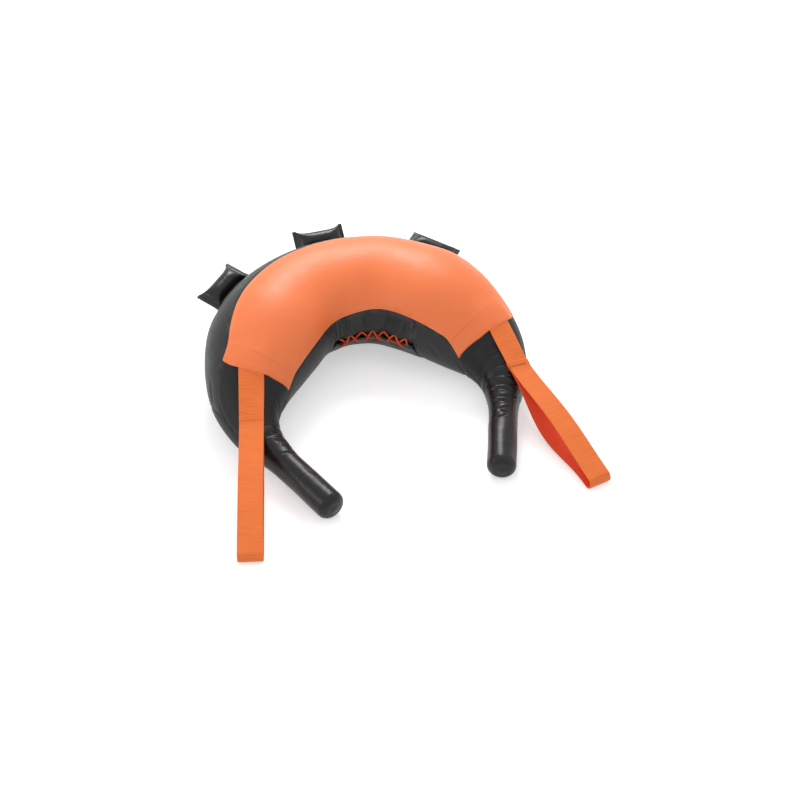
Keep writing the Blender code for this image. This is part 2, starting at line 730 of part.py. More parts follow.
def build_strap(shop, side):
    """One strap: its root under the hem, its tab on the body and its loop."""
    route = StrapRoute(side)
    hem_point, _ = route.line_across(0)
    root_end = -WEBBING_THICKNESS / 2 - STRAP_HINGE_GAP

    def root_place(along, across):
        length = root_end - STRAP_ROOT_LENGTH * (1 - along)
        return route.webbing_point(length, WEBBING_WIDTH * (across - 0.5))

    shape = mapped_grid(ROOT_STEPS, STRAP_STEPS_ACROSS, root_place)
    thicken(shop.add_bmesh(f"strap_root_{side.name}", shape, "webbing"), WEBBING_THICKNESS, 0)

    loop_half_stack = WEBBING_THICKNESS + LOOP_PLY_GAP / 2
    tab_end = side.tab_length - loop_half_stack - STRAP_HINGE_GAP

    def tab_place(along, across):
        return route.webbing_point(tab_end * along, WEBBING_WIDTH * (across - 0.5)) - hem_point

    shape = mapped_grid(TAB_STEPS, STRAP_STEPS_ACROSS, tab_place)
    thicken(shop.add_bmesh(f"strap_tab_{side.name}", shape, "webbing", hem_point), WEBBING_THICKNESS, 0)

    tack, crosswise = route.line_across(side.tab_length)
    fold_reach = LOOP_FOLD_RADIUS + WEBBING_THICKNESS / 2
    flat_run = side.loop_length - fold_reach
    pitch = math.asin((tack.z - fold_reach - LOOP_FLOOR_GAP) / flat_run)
    run = route.run * math.cos(pitch) - Vector((0, 0, math.sin(pitch)))
    profile = loop_profile(side, flat_run)

    def loop_place(along, across):
        length, height = profile[round(along * (len(profile) - 1))]
        sideways = crosswise.lerp(route.level, length / side.loop_length).normalized()
        upward = run.cross(sideways) * side.sign
        return run * length + upward * height + sideways * (WEBBING_WIDTH * (across - 0.5))

    shape = mapped_grid(len(profile) - 1, LOOP_STEPS_ACROSS, loop_place)
    thicken(shop.add_bmesh(f"strap_loop_{side.name}", shape, "webbing", tack), WEBBING_THICKNESS, 0)


def handle_rows():
    """Places of the rings of points along half a handle, from its sewn end to its middle."""
    turns = [math.pi / 2 * step / PINCH_STEPS for step in range(PINCH_STEPS + 1)]
    flat_end = HANDLE_HALF_LENGTH - HANDLE_FLANGE_LENGTH
    pinch = [flat_end - HANDLE_PINCH_LENGTH * (1 - math.cos(turn)) for turn in turns]
    return [HANDLE_HALF_LENGTH] + pinch + [0.0]


def handle_section(place, angle, clearance):
    """Point inside a padded handle's sleeve: a tube whose outline keeps its length as it flattens."""
    radius = HANDLE_TUBE_RADIUS - HANDLE_WALL
    flat_end = HANDLE_HALF_LENGTH - HANDLE_FLANGE_LENGTH
    share = min(max((flat_end - abs(place)) / HANDLE_PINCH_LENGTH, 0.0), 1.0)
    half_thickness = max(radius * math.sqrt(1 - (1 - share) ** 2), HANDLE_FLANGE_HALF_THICKNESS - HANDLE_WALL)
    half_flat = math.pi / 2 * (radius - half_thickness)
    middle = math.pi / 2 * radius + HANDLE_WALL + HANDLE_TUBE_OFFSET * half_thickness / radius
    along_flat = min(max(math.cos(angle) / math.cos(HANDLE_FOLD_ANGLE), -1.0), 1.0)
    inside = half_thickness - clearance
    out = middle + half_flat * along_flat + inside * math.cos(angle)
    return Vector((place, out, inside * math.sin(angle)))


def build_handle(shop, handle):
    """One padded handle: a vinyl sleeve pinched flat at both ends, round a foam core."""
    probe = CENTRE_LINE_STEP
    outer_run = (body_point(handle.distance + probe, 0) - body_point(handle.distance - probe, 0)).length
    reach = HANDLE_HALF_LENGTH * 2 * probe / outer_run
    base = section(handle.distance)[2] + HANDLE_BASE_HEIGHT
    ends = []
    for distance in (handle.distance - reach, handle.distance + reach):
        _, half_height, middle = section(distance)
        ends.append(body_point(distance, math.asin((base - middle) / half_height), -HANDLE_STAND_OFF))
    chord = (ends[1] - ends[0]).normalized()
    outward = Vector((-chord.y, chord.x, 0)).normalized()
    frame = Matrix((chord, outward, chord.cross(outward))).transposed().to_quaternion()
    turn = frame @ Euler((0, handle.tilt, 0)).to_quaternion() @ Euler((handle.lift, 0, 0)).to_quaternion()
    origin = (ends[0] + ends[1]) / 2

    half_rows = handle_rows()
    sleeve_rows = [-place for place in half_rows] + half_rows[-2::-1]
    core_rows = sleeve_rows[2:-2]

    def sleeve_place(along, across):
        angle = (math.pi - HANDLE_SEAM_GAP) * (1 - 2 * across)
        return handle_section(sleeve_rows[round(along * (len(sleeve_rows) - 1))], angle, 0)

    def core_place(along, across):
        place = core_rows[round(along * (len(core_rows) - 1))]
        return handle_section(place, 2 * math.pi * across, HANDLE_CORE_CLEARANCE)

    sleeve = mapped_grid(len(sleeve_rows) - 1, HANDLE_SIDES, sleeve_place)
    piece = shop.add_bmesh(f"handle_sleeve_{handle.name}", sleeve, "handle_vinyl", origin, turn)
    thicken(piece, HANDLE_WALL, 1)

    core = mapped_grid(len(core_rows) - 1, HANDLE_SIDES, core_place)
    close_tube(core)
    shop.add_bmesh(f"handle_core_{handle.name}", core, "stuffing", origin, turn)


def centre_on_floor(shop):
    """Move the whole bag so that the middle of its box stands over the origin."""
    bpy.context.view_layer.update()
    graph = bpy.context.evaluated_depsgraph_get()
    corners = []
    for piece in shop.collection.objects:
        if piece.type == "EMPTY":
            continue
        ready = piece.evaluated_get(graph)
        mesh = ready.to_mesh()
        corners.extend(ready.matrix_world @ vertex.co for vertex in mesh.vertices)
        ready.to_mesh_clear()
    spots = np.array(corners)
    low = spots.min(axis=0)
    high = spots.max(axis=0)
    middle = (low + high) / 2
    shop.root.location = (-middle[0], -middle[1], -low[2])
    bpy.context.view_layer.update()


def main():
    """Build the whole bag."""
    shop = Workshop()
    build_covers(shop)
    build_lacing(shop)
    build_fillers(shop)
    for side in SIDES:
        build_grip(shop, side)
        build_strap(shop, side)
    for handle in HANDLES:
        build_handle(shop, handle)
    centre_on_floor(shop)


main()
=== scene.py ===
"""Looks of a crescent training bag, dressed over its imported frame.

The bag is a stuffed vinyl tube bent into a crescent that lies on its back. Its
covers, gussets and orange front panel are sheets laid out on one surface: a
distance along the bag's centre line, an angle round its section and a depth
under its skin. The grips, webbing straps and padded handles hang on it.
All lengths are in metres, +Z is up, and the arms point towards -Y.
"""

from __future__ import annotations

import json
import logging
import math
from dataclasses import dataclass, field
from enum import Enum
from typing import Callable, Optional, Sequence, Union

import bpy
import numpy as np
from mathutils import Euler, Matrix, Vector

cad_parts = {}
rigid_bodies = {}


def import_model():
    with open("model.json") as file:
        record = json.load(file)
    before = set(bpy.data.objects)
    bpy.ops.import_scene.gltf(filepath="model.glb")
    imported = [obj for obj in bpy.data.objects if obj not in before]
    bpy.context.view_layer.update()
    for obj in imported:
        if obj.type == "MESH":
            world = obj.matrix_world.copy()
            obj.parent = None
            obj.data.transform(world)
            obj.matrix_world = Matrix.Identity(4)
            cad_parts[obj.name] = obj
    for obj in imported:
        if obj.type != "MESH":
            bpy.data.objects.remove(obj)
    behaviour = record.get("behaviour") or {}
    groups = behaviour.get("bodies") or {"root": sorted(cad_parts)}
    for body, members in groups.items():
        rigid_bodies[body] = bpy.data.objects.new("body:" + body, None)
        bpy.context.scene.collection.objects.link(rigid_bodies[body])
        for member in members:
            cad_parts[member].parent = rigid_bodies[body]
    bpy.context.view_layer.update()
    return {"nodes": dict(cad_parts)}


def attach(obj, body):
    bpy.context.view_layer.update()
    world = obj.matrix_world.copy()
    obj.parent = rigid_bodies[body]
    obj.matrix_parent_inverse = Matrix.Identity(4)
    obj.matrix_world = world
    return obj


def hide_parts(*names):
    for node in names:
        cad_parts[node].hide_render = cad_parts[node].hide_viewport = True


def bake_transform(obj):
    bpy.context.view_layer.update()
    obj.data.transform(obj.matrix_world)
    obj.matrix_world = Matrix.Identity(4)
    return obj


for leftover in list(bpy.data.objects):
    bpy.data.objects.remove(leftover, do_unlink=True)
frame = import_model()

LOG = logging.getLogger("bag")
CLOTH_MAP = "cloth"
WHOLE_TURN = 2 * math.pi
Array = np.ndarray
Piece = bpy.types.Object
Material = bpy.types.Material
Field = Callable[[Array], Array]
Value = Union[float, int, "Wire", Sequence[float]]


# ---- shader tools


class Wire:
    """An output of a node that takes part in sums: each operator adds a Math node."""

    def __init__(self, board: "Board", node: bpy.types.Node, output: Union[int, str] = 0) -> None:
        """Keep the node and the board that further nodes are made on.

        Args:
            board: The board of the node's tree.
            node: The node that the wire comes from.
            output: The name or number of its output.
        """
        self.board = board
        self.node = node
        self.output = output

    def __getitem__(self, output: Union[int, str]) -> "Wire":
        """Another output of the same node."""
        return Wire(self.board, self.node, output)

    def _with(self, operation: str, *values: Value) -> "Wire":
        """Run a Math node over values, in order."""
        return self.board.node("ShaderNodeMath", {"operation": operation}, dict(enumerate(values)))

    def __add__(self, other: Value) -> "Wire":
        """Sum of two values."""
        return self._with("ADD", self, other)

    def __radd__(self, other: Value) -> "Wire":
        """Sum of two values."""
        return self._with("ADD", other, self)

    def __sub__(self, other: Value) -> "Wire":
        """Difference of two values."""
        return self._with("SUBTRACT", self, other)

    def __rsub__(self, other: Value) -> "Wire":
        """Difference of two values, this one taken away."""
        return self._with("SUBTRACT", other, self)

    def __mul__(self, other: Value) -> "Wire":
        """Product of two values."""
        return self._with("MULTIPLY", self, other)

    def __rmul__(self, other: Value) -> "Wire":
        """Product of two values."""
        return self._with("MULTIPLY", other, self)

    def maximum(self, other: Value) -> "Wire":
        """The larger of two values."""
        return self._with("MAXIMUM", self, other)

    def sine(self) -> "Wire":
        """Sine of this value, in radians."""
        return self._with("SINE", self)

    def above(self, edge: float, blur: float) -> "Wire":
        """0 below an edge and 1 above it, smooth over a blur.

        Args:
            edge: Value in the middle of the step.
            blur: Half of the step's width.

        Returns:
            The stepped value.
        """
        return self.board.node("ShaderNodeMapRange", {"interpolation_type": "SMOOTHSTEP"},
                               {0: self, 1: edge - blur, 2: edge + blur, 3: 0.0, 4: 1.0})


class Board:
    """A node tree, and the one method that makes its nodes."""

    def __init__(self, tree: bpy.types.NodeTree) -> None:
        """Keep the tree.

        Args:
            tree: The node tree of a material, of the world or of Geometry Nodes.
        """
        self.tree = tree

    def node(self, kind: str, settings: Optional[dict] = None, sockets: Optional[dict] = None,
             output: Union[int, str] = 0) -> Wire:
        """Make one node.

        Args:
            kind: The node's type.
            settings: Its own properties, set first.
            sockets: Values or wires of its inputs, by name or number.
            output: The output to go on with.

        Returns:
            The wire of that output.
        """
        made = self.tree.nodes.new(kind)
        for key, value in (settings or {}).items():
            setattr(made, key, value)
        for key, value in (sockets or {}).items():
            self.plug(made.inputs[key], value)
        return Wire(self, made, output)

    def plug(self, socket: bpy.types.NodeSocket, value: Value) -> None:
        """Link a wire to a socket, or set the socket's own value.

        Args:
            socket: The input socket.
            value: The wire or the value.
        """
        if isinstance(value, Wire):
            self.tree.links.new(value.node.outputs[value.output], socket)
        else:
            socket.default_value = value


class Bench(Board):
    """A material's node tree, round one Principled BSDF."""

    def __init__(self, name: str) -> None:
        """Start a material.

        Args:
            name: The material's name.
        """
        self.material = bpy.data.materials.new(name)
        self.material.use_nodes = True
        super().__init__(self.material.node_tree)
        self.shader = self.tree.nodes["Principled BSDF"]

    def set(self, **values: Value) -> None:
        """Set the shader's own sockets, such as Base_Color, by value or wire."""
        for key, value in values.items():
            self.plug(self.shader.inputs[key.replace("_", " ")], value)

    def blend(self, share: Value, first: Value, second: Value, how: str = "MIX") -> Wire:
        """Mix two colours.

        Args:
            share: How much of the second colour.
            first: The first colour.
            second: The second colour.
            how: The way in which they mix.

        Returns:
            The mixed colour.
        """
        return self.node("ShaderNodeMix", {"data_type": "RGBA", "blend_type": how},
                         {0: share, 6: first, 7: second}, 2)

    def shaded(self, colour: Value, shade: Wire) -> Wire:
        """A colour multiplied by a shade of grey."""
        grey = self.node("ShaderNodeCombineXYZ", {}, {0: shade, 1: shade, 2: shade})
        return self.blend(1.0, colour, grey, "MULTIPLY")

    def place(self) -> Wire:
        """Place on the piece in its own frame."""
        return self.node("ShaderNodeTexCoord", output="Object")

    def cloth_place(self) -> Wire:
        """Place on the piece's own UV map, in metres of cloth."""
        return self.node("ShaderNodeUVMap", {"uv_map": CLOTH_MAP})

    def axis(self, place: Wire, number: int) -> Wire:
        """One of a place's three numbers."""
        return self.node("ShaderNodeSeparateXYZ", {}, {0: place}, number)

    def noise(self, place: Wire, scale: float, detail: float = 2.0, distortion: float = 0.0) -> Wire:
        """A noise pattern with a mean of about one half."""
        return self.node("ShaderNodeTexNoise", {},
                         {"Vector": place, "Scale": scale, "Detail": detail, "Distortion": distortion})

    def mark(self, name: str) -> Wire:
        """A number that the mesh carries at its points under a name."""
        return self.node("ShaderNodeAttribute", {"attribute_name": name}, output="Fac")

    def bump(self, height: Wire, distance: float, under: Optional[Wire] = None) -> Wire:
        """A normal that follows a height pattern.

        Args:
            height: The pattern, from 0 to 1.
            distance: Its full height in metres.
            under: A coarser normal to lay it on.

        Returns:
            The bumped normal.
        """
        sockets: dict = {"Height": height, "Distance": distance, "Strength": 1.0}
        if under is not None:
            sockets["Normal"] = under
        return self.node("ShaderNodeBump", {}, sockets)


Colour = tuple[float, float, float, float]


@dataclass(frozen=True)
class Finish:
    """One finish of the bag: its name, its colour and the nodes that paint it."""

    name: str
    colour: Colour

    def build(self) -> Material:
        """Make the material.

        Returns:
            The finished material.
        """
        bench = Bench(self.name)
        self.paint(bench)
        return bench.material

    def paint(self, bench: Bench) -> None:
        """Set the shader's colour, gloss and relief on the finish's bench."""
        raise NotImplementedError


@dataclass(frozen=True)
class Vinyl(Finish):
    """A coated fabric: its colour, gloss, grain, and the rubbing and painted highlight along its seams."""

    # Lighter colour along the seams: rubbing of the vinyl, and a painted highlight on the seam edges.
    rubbed_and_highlight_colour: Colour
    roughness: float
    specular: float
    coat: float = 0.0
    coat_roughness: float = 0.2
    grain_scale: float = 800.0
    grain_height: float = 0.00008
    ripple_height: float = 0.0006
    mottle: float = 0.12

    def paint(self, bench: Bench) -> None:
        """Paint the coat's mottled colour, its gloss and its grain.

        Args:
            bench: The finish's bench.
        """
        place = bench.place()
        cloud = bench.noise(place, 7.0, 3.0, 0.4)
        smear = bench.noise(place, 42.0, 4.0, 0.6)
        grain = bench.noise(place, self.grain_scale, 3.0)
        cell = bench.node("ShaderNodeTexVoronoi", {"feature": "DISTANCE_TO_EDGE"},
                          {"Vector": place, "Scale": self.grain_scale * 0.8})
        seam = bench.mark("seam")
        shade = (cloud - 0.5) * (2 * self.mottle) + (smear - 0.5) * self.mottle + 1.0
        tint = bench.shaded(self.colour, shade)
        # Lighter, rougher patches along the seams: rubbing of the vinyl, whose lighter colour is also a
        # painted highlight.
        rubbed_and_highlight_share = seam * smear.above(0.52, 0.14) * 0.75
        bench.set(Base_Color=bench.blend(rubbed_and_highlight_share, tint, self.rubbed_and_highlight_colour),
                  Roughness=(smear - 0.5) * 0.16 + (grain - 0.5) * 0.10 + rubbed_and_highlight_share * 0.12 + self.roughness,
                  Specular_IOR_Level=self.specular, Coat_Weight=self.coat,
                  Coat_Roughness=self.coat_roughness)
        ripple = bench.bump(bench.noise(place, 38.0, 3.0, 0.8), self.ripple_height)
        skin = grain * 0.5 + cell.above(0.06, 0.06) * 0.5
        bench.set(Normal=bench.bump(skin, self.grain_height, ripple))


@dataclass(frozen=True)
class Webbing(Finish):
    """Woven strap: cross ribs and lengthwise yarns on the strap's own UV map, in metres."""

    # Redder, brighter colour of the faces inside a loop: painted light bouncing between the orange plies.
    inner_colour: Colour
    # Painted shade in the grooves between ribs and yarns.
    groove_shade_colour: Colour
    rib_pitch: float = 0.0023
    yarn_pitch: float = 0.0015
    relief: float = 0.00035

    def paint(self, bench: Bench) -> None:
        """Paint the ribs, the yarns and painted shade in the grooves between them.

        Args:
            bench: The finish's bench.
        """
        spot = bench.cloth_place()
        across = bench.axis(spot, 0)
        along = bench.axis(spot, 1)
        wander = bench.noise(spot, 60.0, 2.0)
        turns = along * (WHOLE_TURN / self.rib_pitch) + wander * 1.6
        rib = turns.sine() * 0.5 + 0.5
        yarn = (across * (WHOLE_TURN / self.yarn_pitch)).sine() * 0.5 + 0.5
        streak_place = bench.node("ShaderNodeCombineXYZ", {}, {0: across * 14.0, 1: along * 330.0})
        streak = bench.noise(streak_place, 1.0, 2.0)
        fuzz = bench.noise(spot, 2600.0, 2.0)
        cloud = bench.noise(spot, 16.0, 2.0)
        height = rib * 0.62 + yarn * 0.26 + fuzz * 0.22
        # Painted shade where the weave is low, plus darker streaks of tone along the webbing.
        groove_shade = (1 - height).above(0.62, 0.3) * 0.42 + streak.above(0.62, 0.1) * 0.22
        # Faces marked inner, inside the loop, take the painted bounce-light colour.
        body = bench.blend(bench.mark("inner"), self.colour, self.inner_colour)
        body = bench.shaded(body, (cloud - 0.5) * 0.16 + (fuzz - 0.5) * 0.18 + 1.0)
        bench.set(Base_Color=bench.blend(groove_shade, body, self.groove_shade_colour),
                  Roughness=(fuzz - 0.5) * 0.2 + 0.72, Specular_IOR_Level=0.25, Sheen_Weight=0.25,
                  Sheen_Roughness=0.4, Normal=bench.bump(height, self.relief))


@dataclass(frozen=True)
class Braid(Finish):
    """Round cord: two sets of strands that cross, on the cord's own UV map."""

    # Painted shade between the strands.
    groove_shade_colour: Colour
    pitch: float = 0.0042
    strands: int = 4

    def paint(self, bench: Bench) -> None:
        """Paint the crossing strands and painted shade between them.

        Args:
            bench: The finish's bench.
        """
        spot = bench.cloth_place()
        round_it = bench.axis(spot, 0) * (WHOLE_TURN * self.strands)
        along = bench.axis(spot, 1) * (WHOLE_TURN / self.pitch)
        strand = (round_it + along).sine() * (round_it - along).sine() * 0.5 + 0.5
        fuzz = bench.noise(bench.place(), 1800.0, 2.0)
        # Painted shade where the strands are low.
        groove_shade = (1 - strand).above(0.6, 0.3) * 0.55
        bench.set(Base_Color=bench.blend(groove_shade, self.colour, self.groove_shade_colour),
                  Roughness=(fuzz - 0.5) * 0.2 + 0.7, Specular_IOR_Level=0.25,
                  Normal=bench.bump(strand * 0.8 + fuzz * 0.2, 0.0004))


@dataclass(frozen=True)
class Thread(Finish):
    """Twisted sewing thread."""

    def paint(self, bench: Bench) -> None:
        """Paint the twist of the thread.

        Args:
            bench: The finish's bench.
        """
        twist = bench.noise(bench.place(), 2400.0, 2.0)
        shade = (twist - 0.5) * 0.5 + 1.0
        bench.set(Base_Color=bench.shaded(self.colour, shade), Roughness=(twist - 0.5) * 0.2 + 0.55,
                  Normal=bench.bump(twist, 0.0002))


@dataclass(frozen=True)
class InnerCloth(Finish):
    """Plain woven cloth of the sand bags, dusty with fill."""

    dust: Colour
    yarn_pitch: float = 0.0011

    def paint(self, bench: Bench) -> None:
        """Paint the weave and the dust.

        Args:
            bench: The finish's bench.
        """
        place = bench.place()
        turn = WHOLE_TURN / self.yarn_pitch
        warp = (bench.axis(place, 0) * turn).sine()
        weft = (bench.axis(place, 1) * turn).sine()
        weave = warp * weft * 0.5 + 0.5
        dusty = bench.noise(place, 30.0, 4.0).above(0.52, 0.12)
        bench.set(Base_Color=bench.blend(dusty * 0.6, self.colour, self.dust),
                  Roughness=weave * 0.08 + 0.86, Normal=bench.bump(weave, 0.0002))


class Finishes:
    """Every finish of the bag, each made once."""

    def __init__(self) -> None:
        """Build the materials."""
        # Each Vinyl's second colour is the lighter colour along its seams: rubbing and a painted highlight.
        self.cover = Vinyl("cover_vinyl", (0.014, 0.014, 0.014, 1), (0.040, 0.040, 0.040, 1),
                           0.46, 0.22, ripple_height=0.0009).build()
        self.gusset = Vinyl("gusset_vinyl", (0.026, 0.026, 0.027, 1), (0.080, 0.078, 0.078, 1),
                            0.46, 0.28, ripple_height=0.0011).build()
        self.panel = Vinyl("panel_vinyl", (0.900, 0.200, 0.054, 1), (0.900, 0.290, 0.110, 1),
                           0.47, 0.52, grain_height=0.00004, ripple_height=0.0005, mottle=0.05).build()
        self.grip = Vinyl("grip_vinyl", (0.006, 0.005, 0.005, 1), (0.030, 0.026, 0.025, 1),
                          0.33, 0.32, coat=0.05, coat_roughness=0.28, grain_height=0.00003,
                          ripple_height=0.0010).build()
        self.handle = Vinyl("handle_vinyl", (0.006, 0.006, 0.007, 1), (0.040, 0.040, 0.040, 1),
                            0.30, 0.34, coat=0.1, coat_roughness=0.3, grain_height=0.00004,
                            ripple_height=0.0006).build()
        # Webbing: its colour, painted bounce light inside its loops and painted shade in its grooves.
        self.webbing = Webbing("strap_webbing", (0.920, 0.212, 0.046, 1), (0.960, 0.090, 0.028, 1),
                               (0.520, 0.080, 0.016, 1)).build()
        # Cord: its colour and painted shade between its strands.
        self.cord = Braid("lace_cord", (0.830, 0.110, 0.028, 1), (0.400, 0.040, 0.010, 1)).build()
        self.dark_thread = Thread("dark_thread", (0.020, 0.020, 0.021, 1)).build()
        self.orange_thread = Thread("orange_thread", (0.760, 0.150, 0.035, 1)).build()
        self.sand_cloth = InnerCloth("sand_cloth", (0.520, 0.470, 0.380, 1), (0.360, 0.300, 0.220, 1)).build()


# ---- mesh tools


def link_object(name: str, data: bpy.types.ID) -> Piece:
    """Make an object and put it in the scene.

    Args:
        name: The object's name.
        data: Its mesh, lamp or camera.

    Returns:
        The object.
    """
    made = bpy.data.objects.new(name, data)
    bpy.context.scene.collection.objects.link(made)
    return made


def around(count: int) -> Array:
    """Angles evenly round a whole turn."""
    return np.linspace(0, WHOLE_TURN, count + 1)[:-1]


def unit(vectors: Array) -> Array:
    """Vectors scaled to length 1 along the last axis."""
    return vectors / np.maximum(np.linalg.norm(vectors, axis=-1, keepdims=True), 1e-12)


def fall(value: Array, start: float, end: float) -> Array:
    """Fall smoothly from 1 at start to 0 at end."""
    share = np.clip((np.asarray(value, float) - start) / (end - start), 0.0, 1.0)
    return 0.5 + 0.5 * np.cos(math.pi * share)


def bell(distance: Array, width: float) -> Array:
    """A bell that is 1 at distance 0."""
    return np.exp(-np.square(distance / width))


def fade(distance: Array, reach: float) -> Array:
    """Fall in a straight line from 1 at distance 0 to 0 at a reach."""
    return np.clip(1 - distance / reach, 0, 1)


def edge_roll(distance: Array, reach: float) -> Array:
    """Drop of a rounded edge: 1 at the edge, 0 past its reach, a quarter circle between."""
    return 1 - np.sqrt(1 - fade(distance, reach) ** 2)


def joined(*parts: Value) -> Array:
    """Points of three parts, or places of two, each part a number or a grid."""
    return np.stack(np.broadcast_arrays(*parts), axis=-1)


def grid_quads(rows: int, columns: int, wrap: bool = False) -> Array:
    """Quads of a grid of points, row after row.

    Args:
        rows: How many rows of points.
        columns: How many points a row has.
        wrap: Whether the last column joins the first.

    Returns:
        An array of four point numbers a face.
    """
    column = np.arange(columns if wrap else columns - 1)
    row = np.arange(rows - 1)[:, None]
    here = row * columns + column
    beside = row * columns + (column + 1) % columns
    quads = np.stack([here, beside, beside + columns, here + columns], axis=-1)
    return quads.reshape(-1, 4)


@dataclass
class Solid:
    """A closed piece before it becomes an object: its points, faces and what they carry."""

    points: Array
    faces: list
    uv: Optional[Array] = None
    marks: dict[str, Array] = field(default_factory=dict)

    def volume(self) -> float:
        """Add up the volume inside the faces.

        Returns:
            The volume, positive where the faces point outwards.
        """
        total = 0.0
        for size in {len(face) for face in self.faces}:
            group = np.array([face for face in self.faces if len(face) == size])
            first = self.points[group[:, 0]]
            for step in range(1, size - 1):
                second = self.points[group[:, step]]
                third = self.points[group[:, step + 1]]
                total += float(np.einsum("ij,ij->i", first, np.cross(second, third)).sum()) / 6
        return total

    def to_object(self, name: str, material: Material) -> Piece:
        """Make the object, with its faces outwards, its origin at the frame's origin.

        Args:
            name: The piece's name.
            material: Its finish.

        Returns:
            The new object.
        """
        faces = [list(map(int, face)) for face in self.faces]
        if self.volume() < 0:
            faces = [face[::-1] for face in faces]
        mesh = bpy.data.meshes.new(name)
        mesh.from_pydata(self.points.tolist(), [], faces)
        mesh.validate()
        mesh.shade_smooth()
        if self.uv is not None:
            layer = mesh.uv_layers.new(name=CLOTH_MAP)
            corner = np.zeros(len(mesh.loops), np.int32)
            mesh.loops.foreach_get("vertex_index", corner)
            layer.data.foreach_set("uv", self.uv[corner].astype(np.float32).ravel())
        for mark, values in self.marks.items():
            made = mesh.attributes.new(mark, "FLOAT", "POINT")
            made.data.foreach_set("value", values.astype(np.float32).ravel())
        mesh.materials.append(material)
        return link_object(name, mesh)


def shell(outer: Array, inner: Array, marks: Optional[dict[str, Array]] = None) -> Solid:
    """Close the space between two grids of points with a wall round their rim.

    Args:
        outer: Points of the outer face, rows by columns by 3.
        inner: Points of the inner face, the same size.
        marks: Numbers that the points carry, rows by columns.

    Returns:
        The closed solid.
    """
    rows, columns = outer.shape[:2]
    count = rows * columns
    skin = grid_quads(rows, columns)
    number = np.arange(count).reshape(rows, columns)
    rim = np.concatenate([number[0, :], number[1:, -1], number[-1, -2::-1], number[-2:0:-1, 0]])
    following = np.roll(rim, -1)
    wall = np.stack([following, rim, rim + count, following + count], axis=-1)
    faces = np.concatenate([skin, (skin + count)[:, ::-1], wall])
    doubled = {key: np.concatenate([value.ravel()] * 2) for key, value in (marks or {}).items()}
    points = np.concatenate([outer.reshape(-1, 3), inner.reshape(-1, 3)])
    return Solid(points, list(faces), marks=doubled)


def closed_tube(rings: Array, uv: Optional[Array] = None, marks: Optional[dict[str, Array]] = None) -> Solid:
    """Close a tube of rings with a point at each end.

    Args:
        rings: Rows by columns by 3, one ring a row.
        uv: Rows by columns by 2.
        marks: Numbers that the points carry, rows by columns.

    Returns:
        The closed solid.
    """
    rows, columns = rings.shape[:2]
    count = rows * columns
    points = np.concatenate([rings.reshape(-1, 3), [rings[0].mean(0)], [rings[-1].mean(0)]])
    faces = list(grid_quads(rows, columns, True))
    last = (rows - 1) * columns
    for column in range(columns):
        beside = (column + 1) % columns
        faces.append((beside, column, count))
        faces.append((last + column, last + beside, count + 1))
    full_uv = None
    if uv is not None:
        full_uv = np.concatenate([uv.reshape(-1, 2), [uv[0].mean(0)], [uv[-1].mean(0)]])
    ended = {key: np.concatenate([value.ravel(), [value[0].mean(), value[-1].mean()]])
             for key, value in (marks or {}).items()}
    return Solid(points, faces, full_uv, ended)


def sheet_normals(points: Array) -> Array:
    """Normals of a grid of points, from the steps along its rows and columns."""
    return unit(np.cross(np.gradient(points, axis=0), np.gradient(points, axis=1)))


def walked(points: Array) -> Array:
    """Length walked along a line of points, from 0."""
    steps = np.linalg.norm(np.diff(points, axis=0), axis=-1)
    return np.concatenate([[0.0], np.cumsum(steps)])


# ---- the bag's form


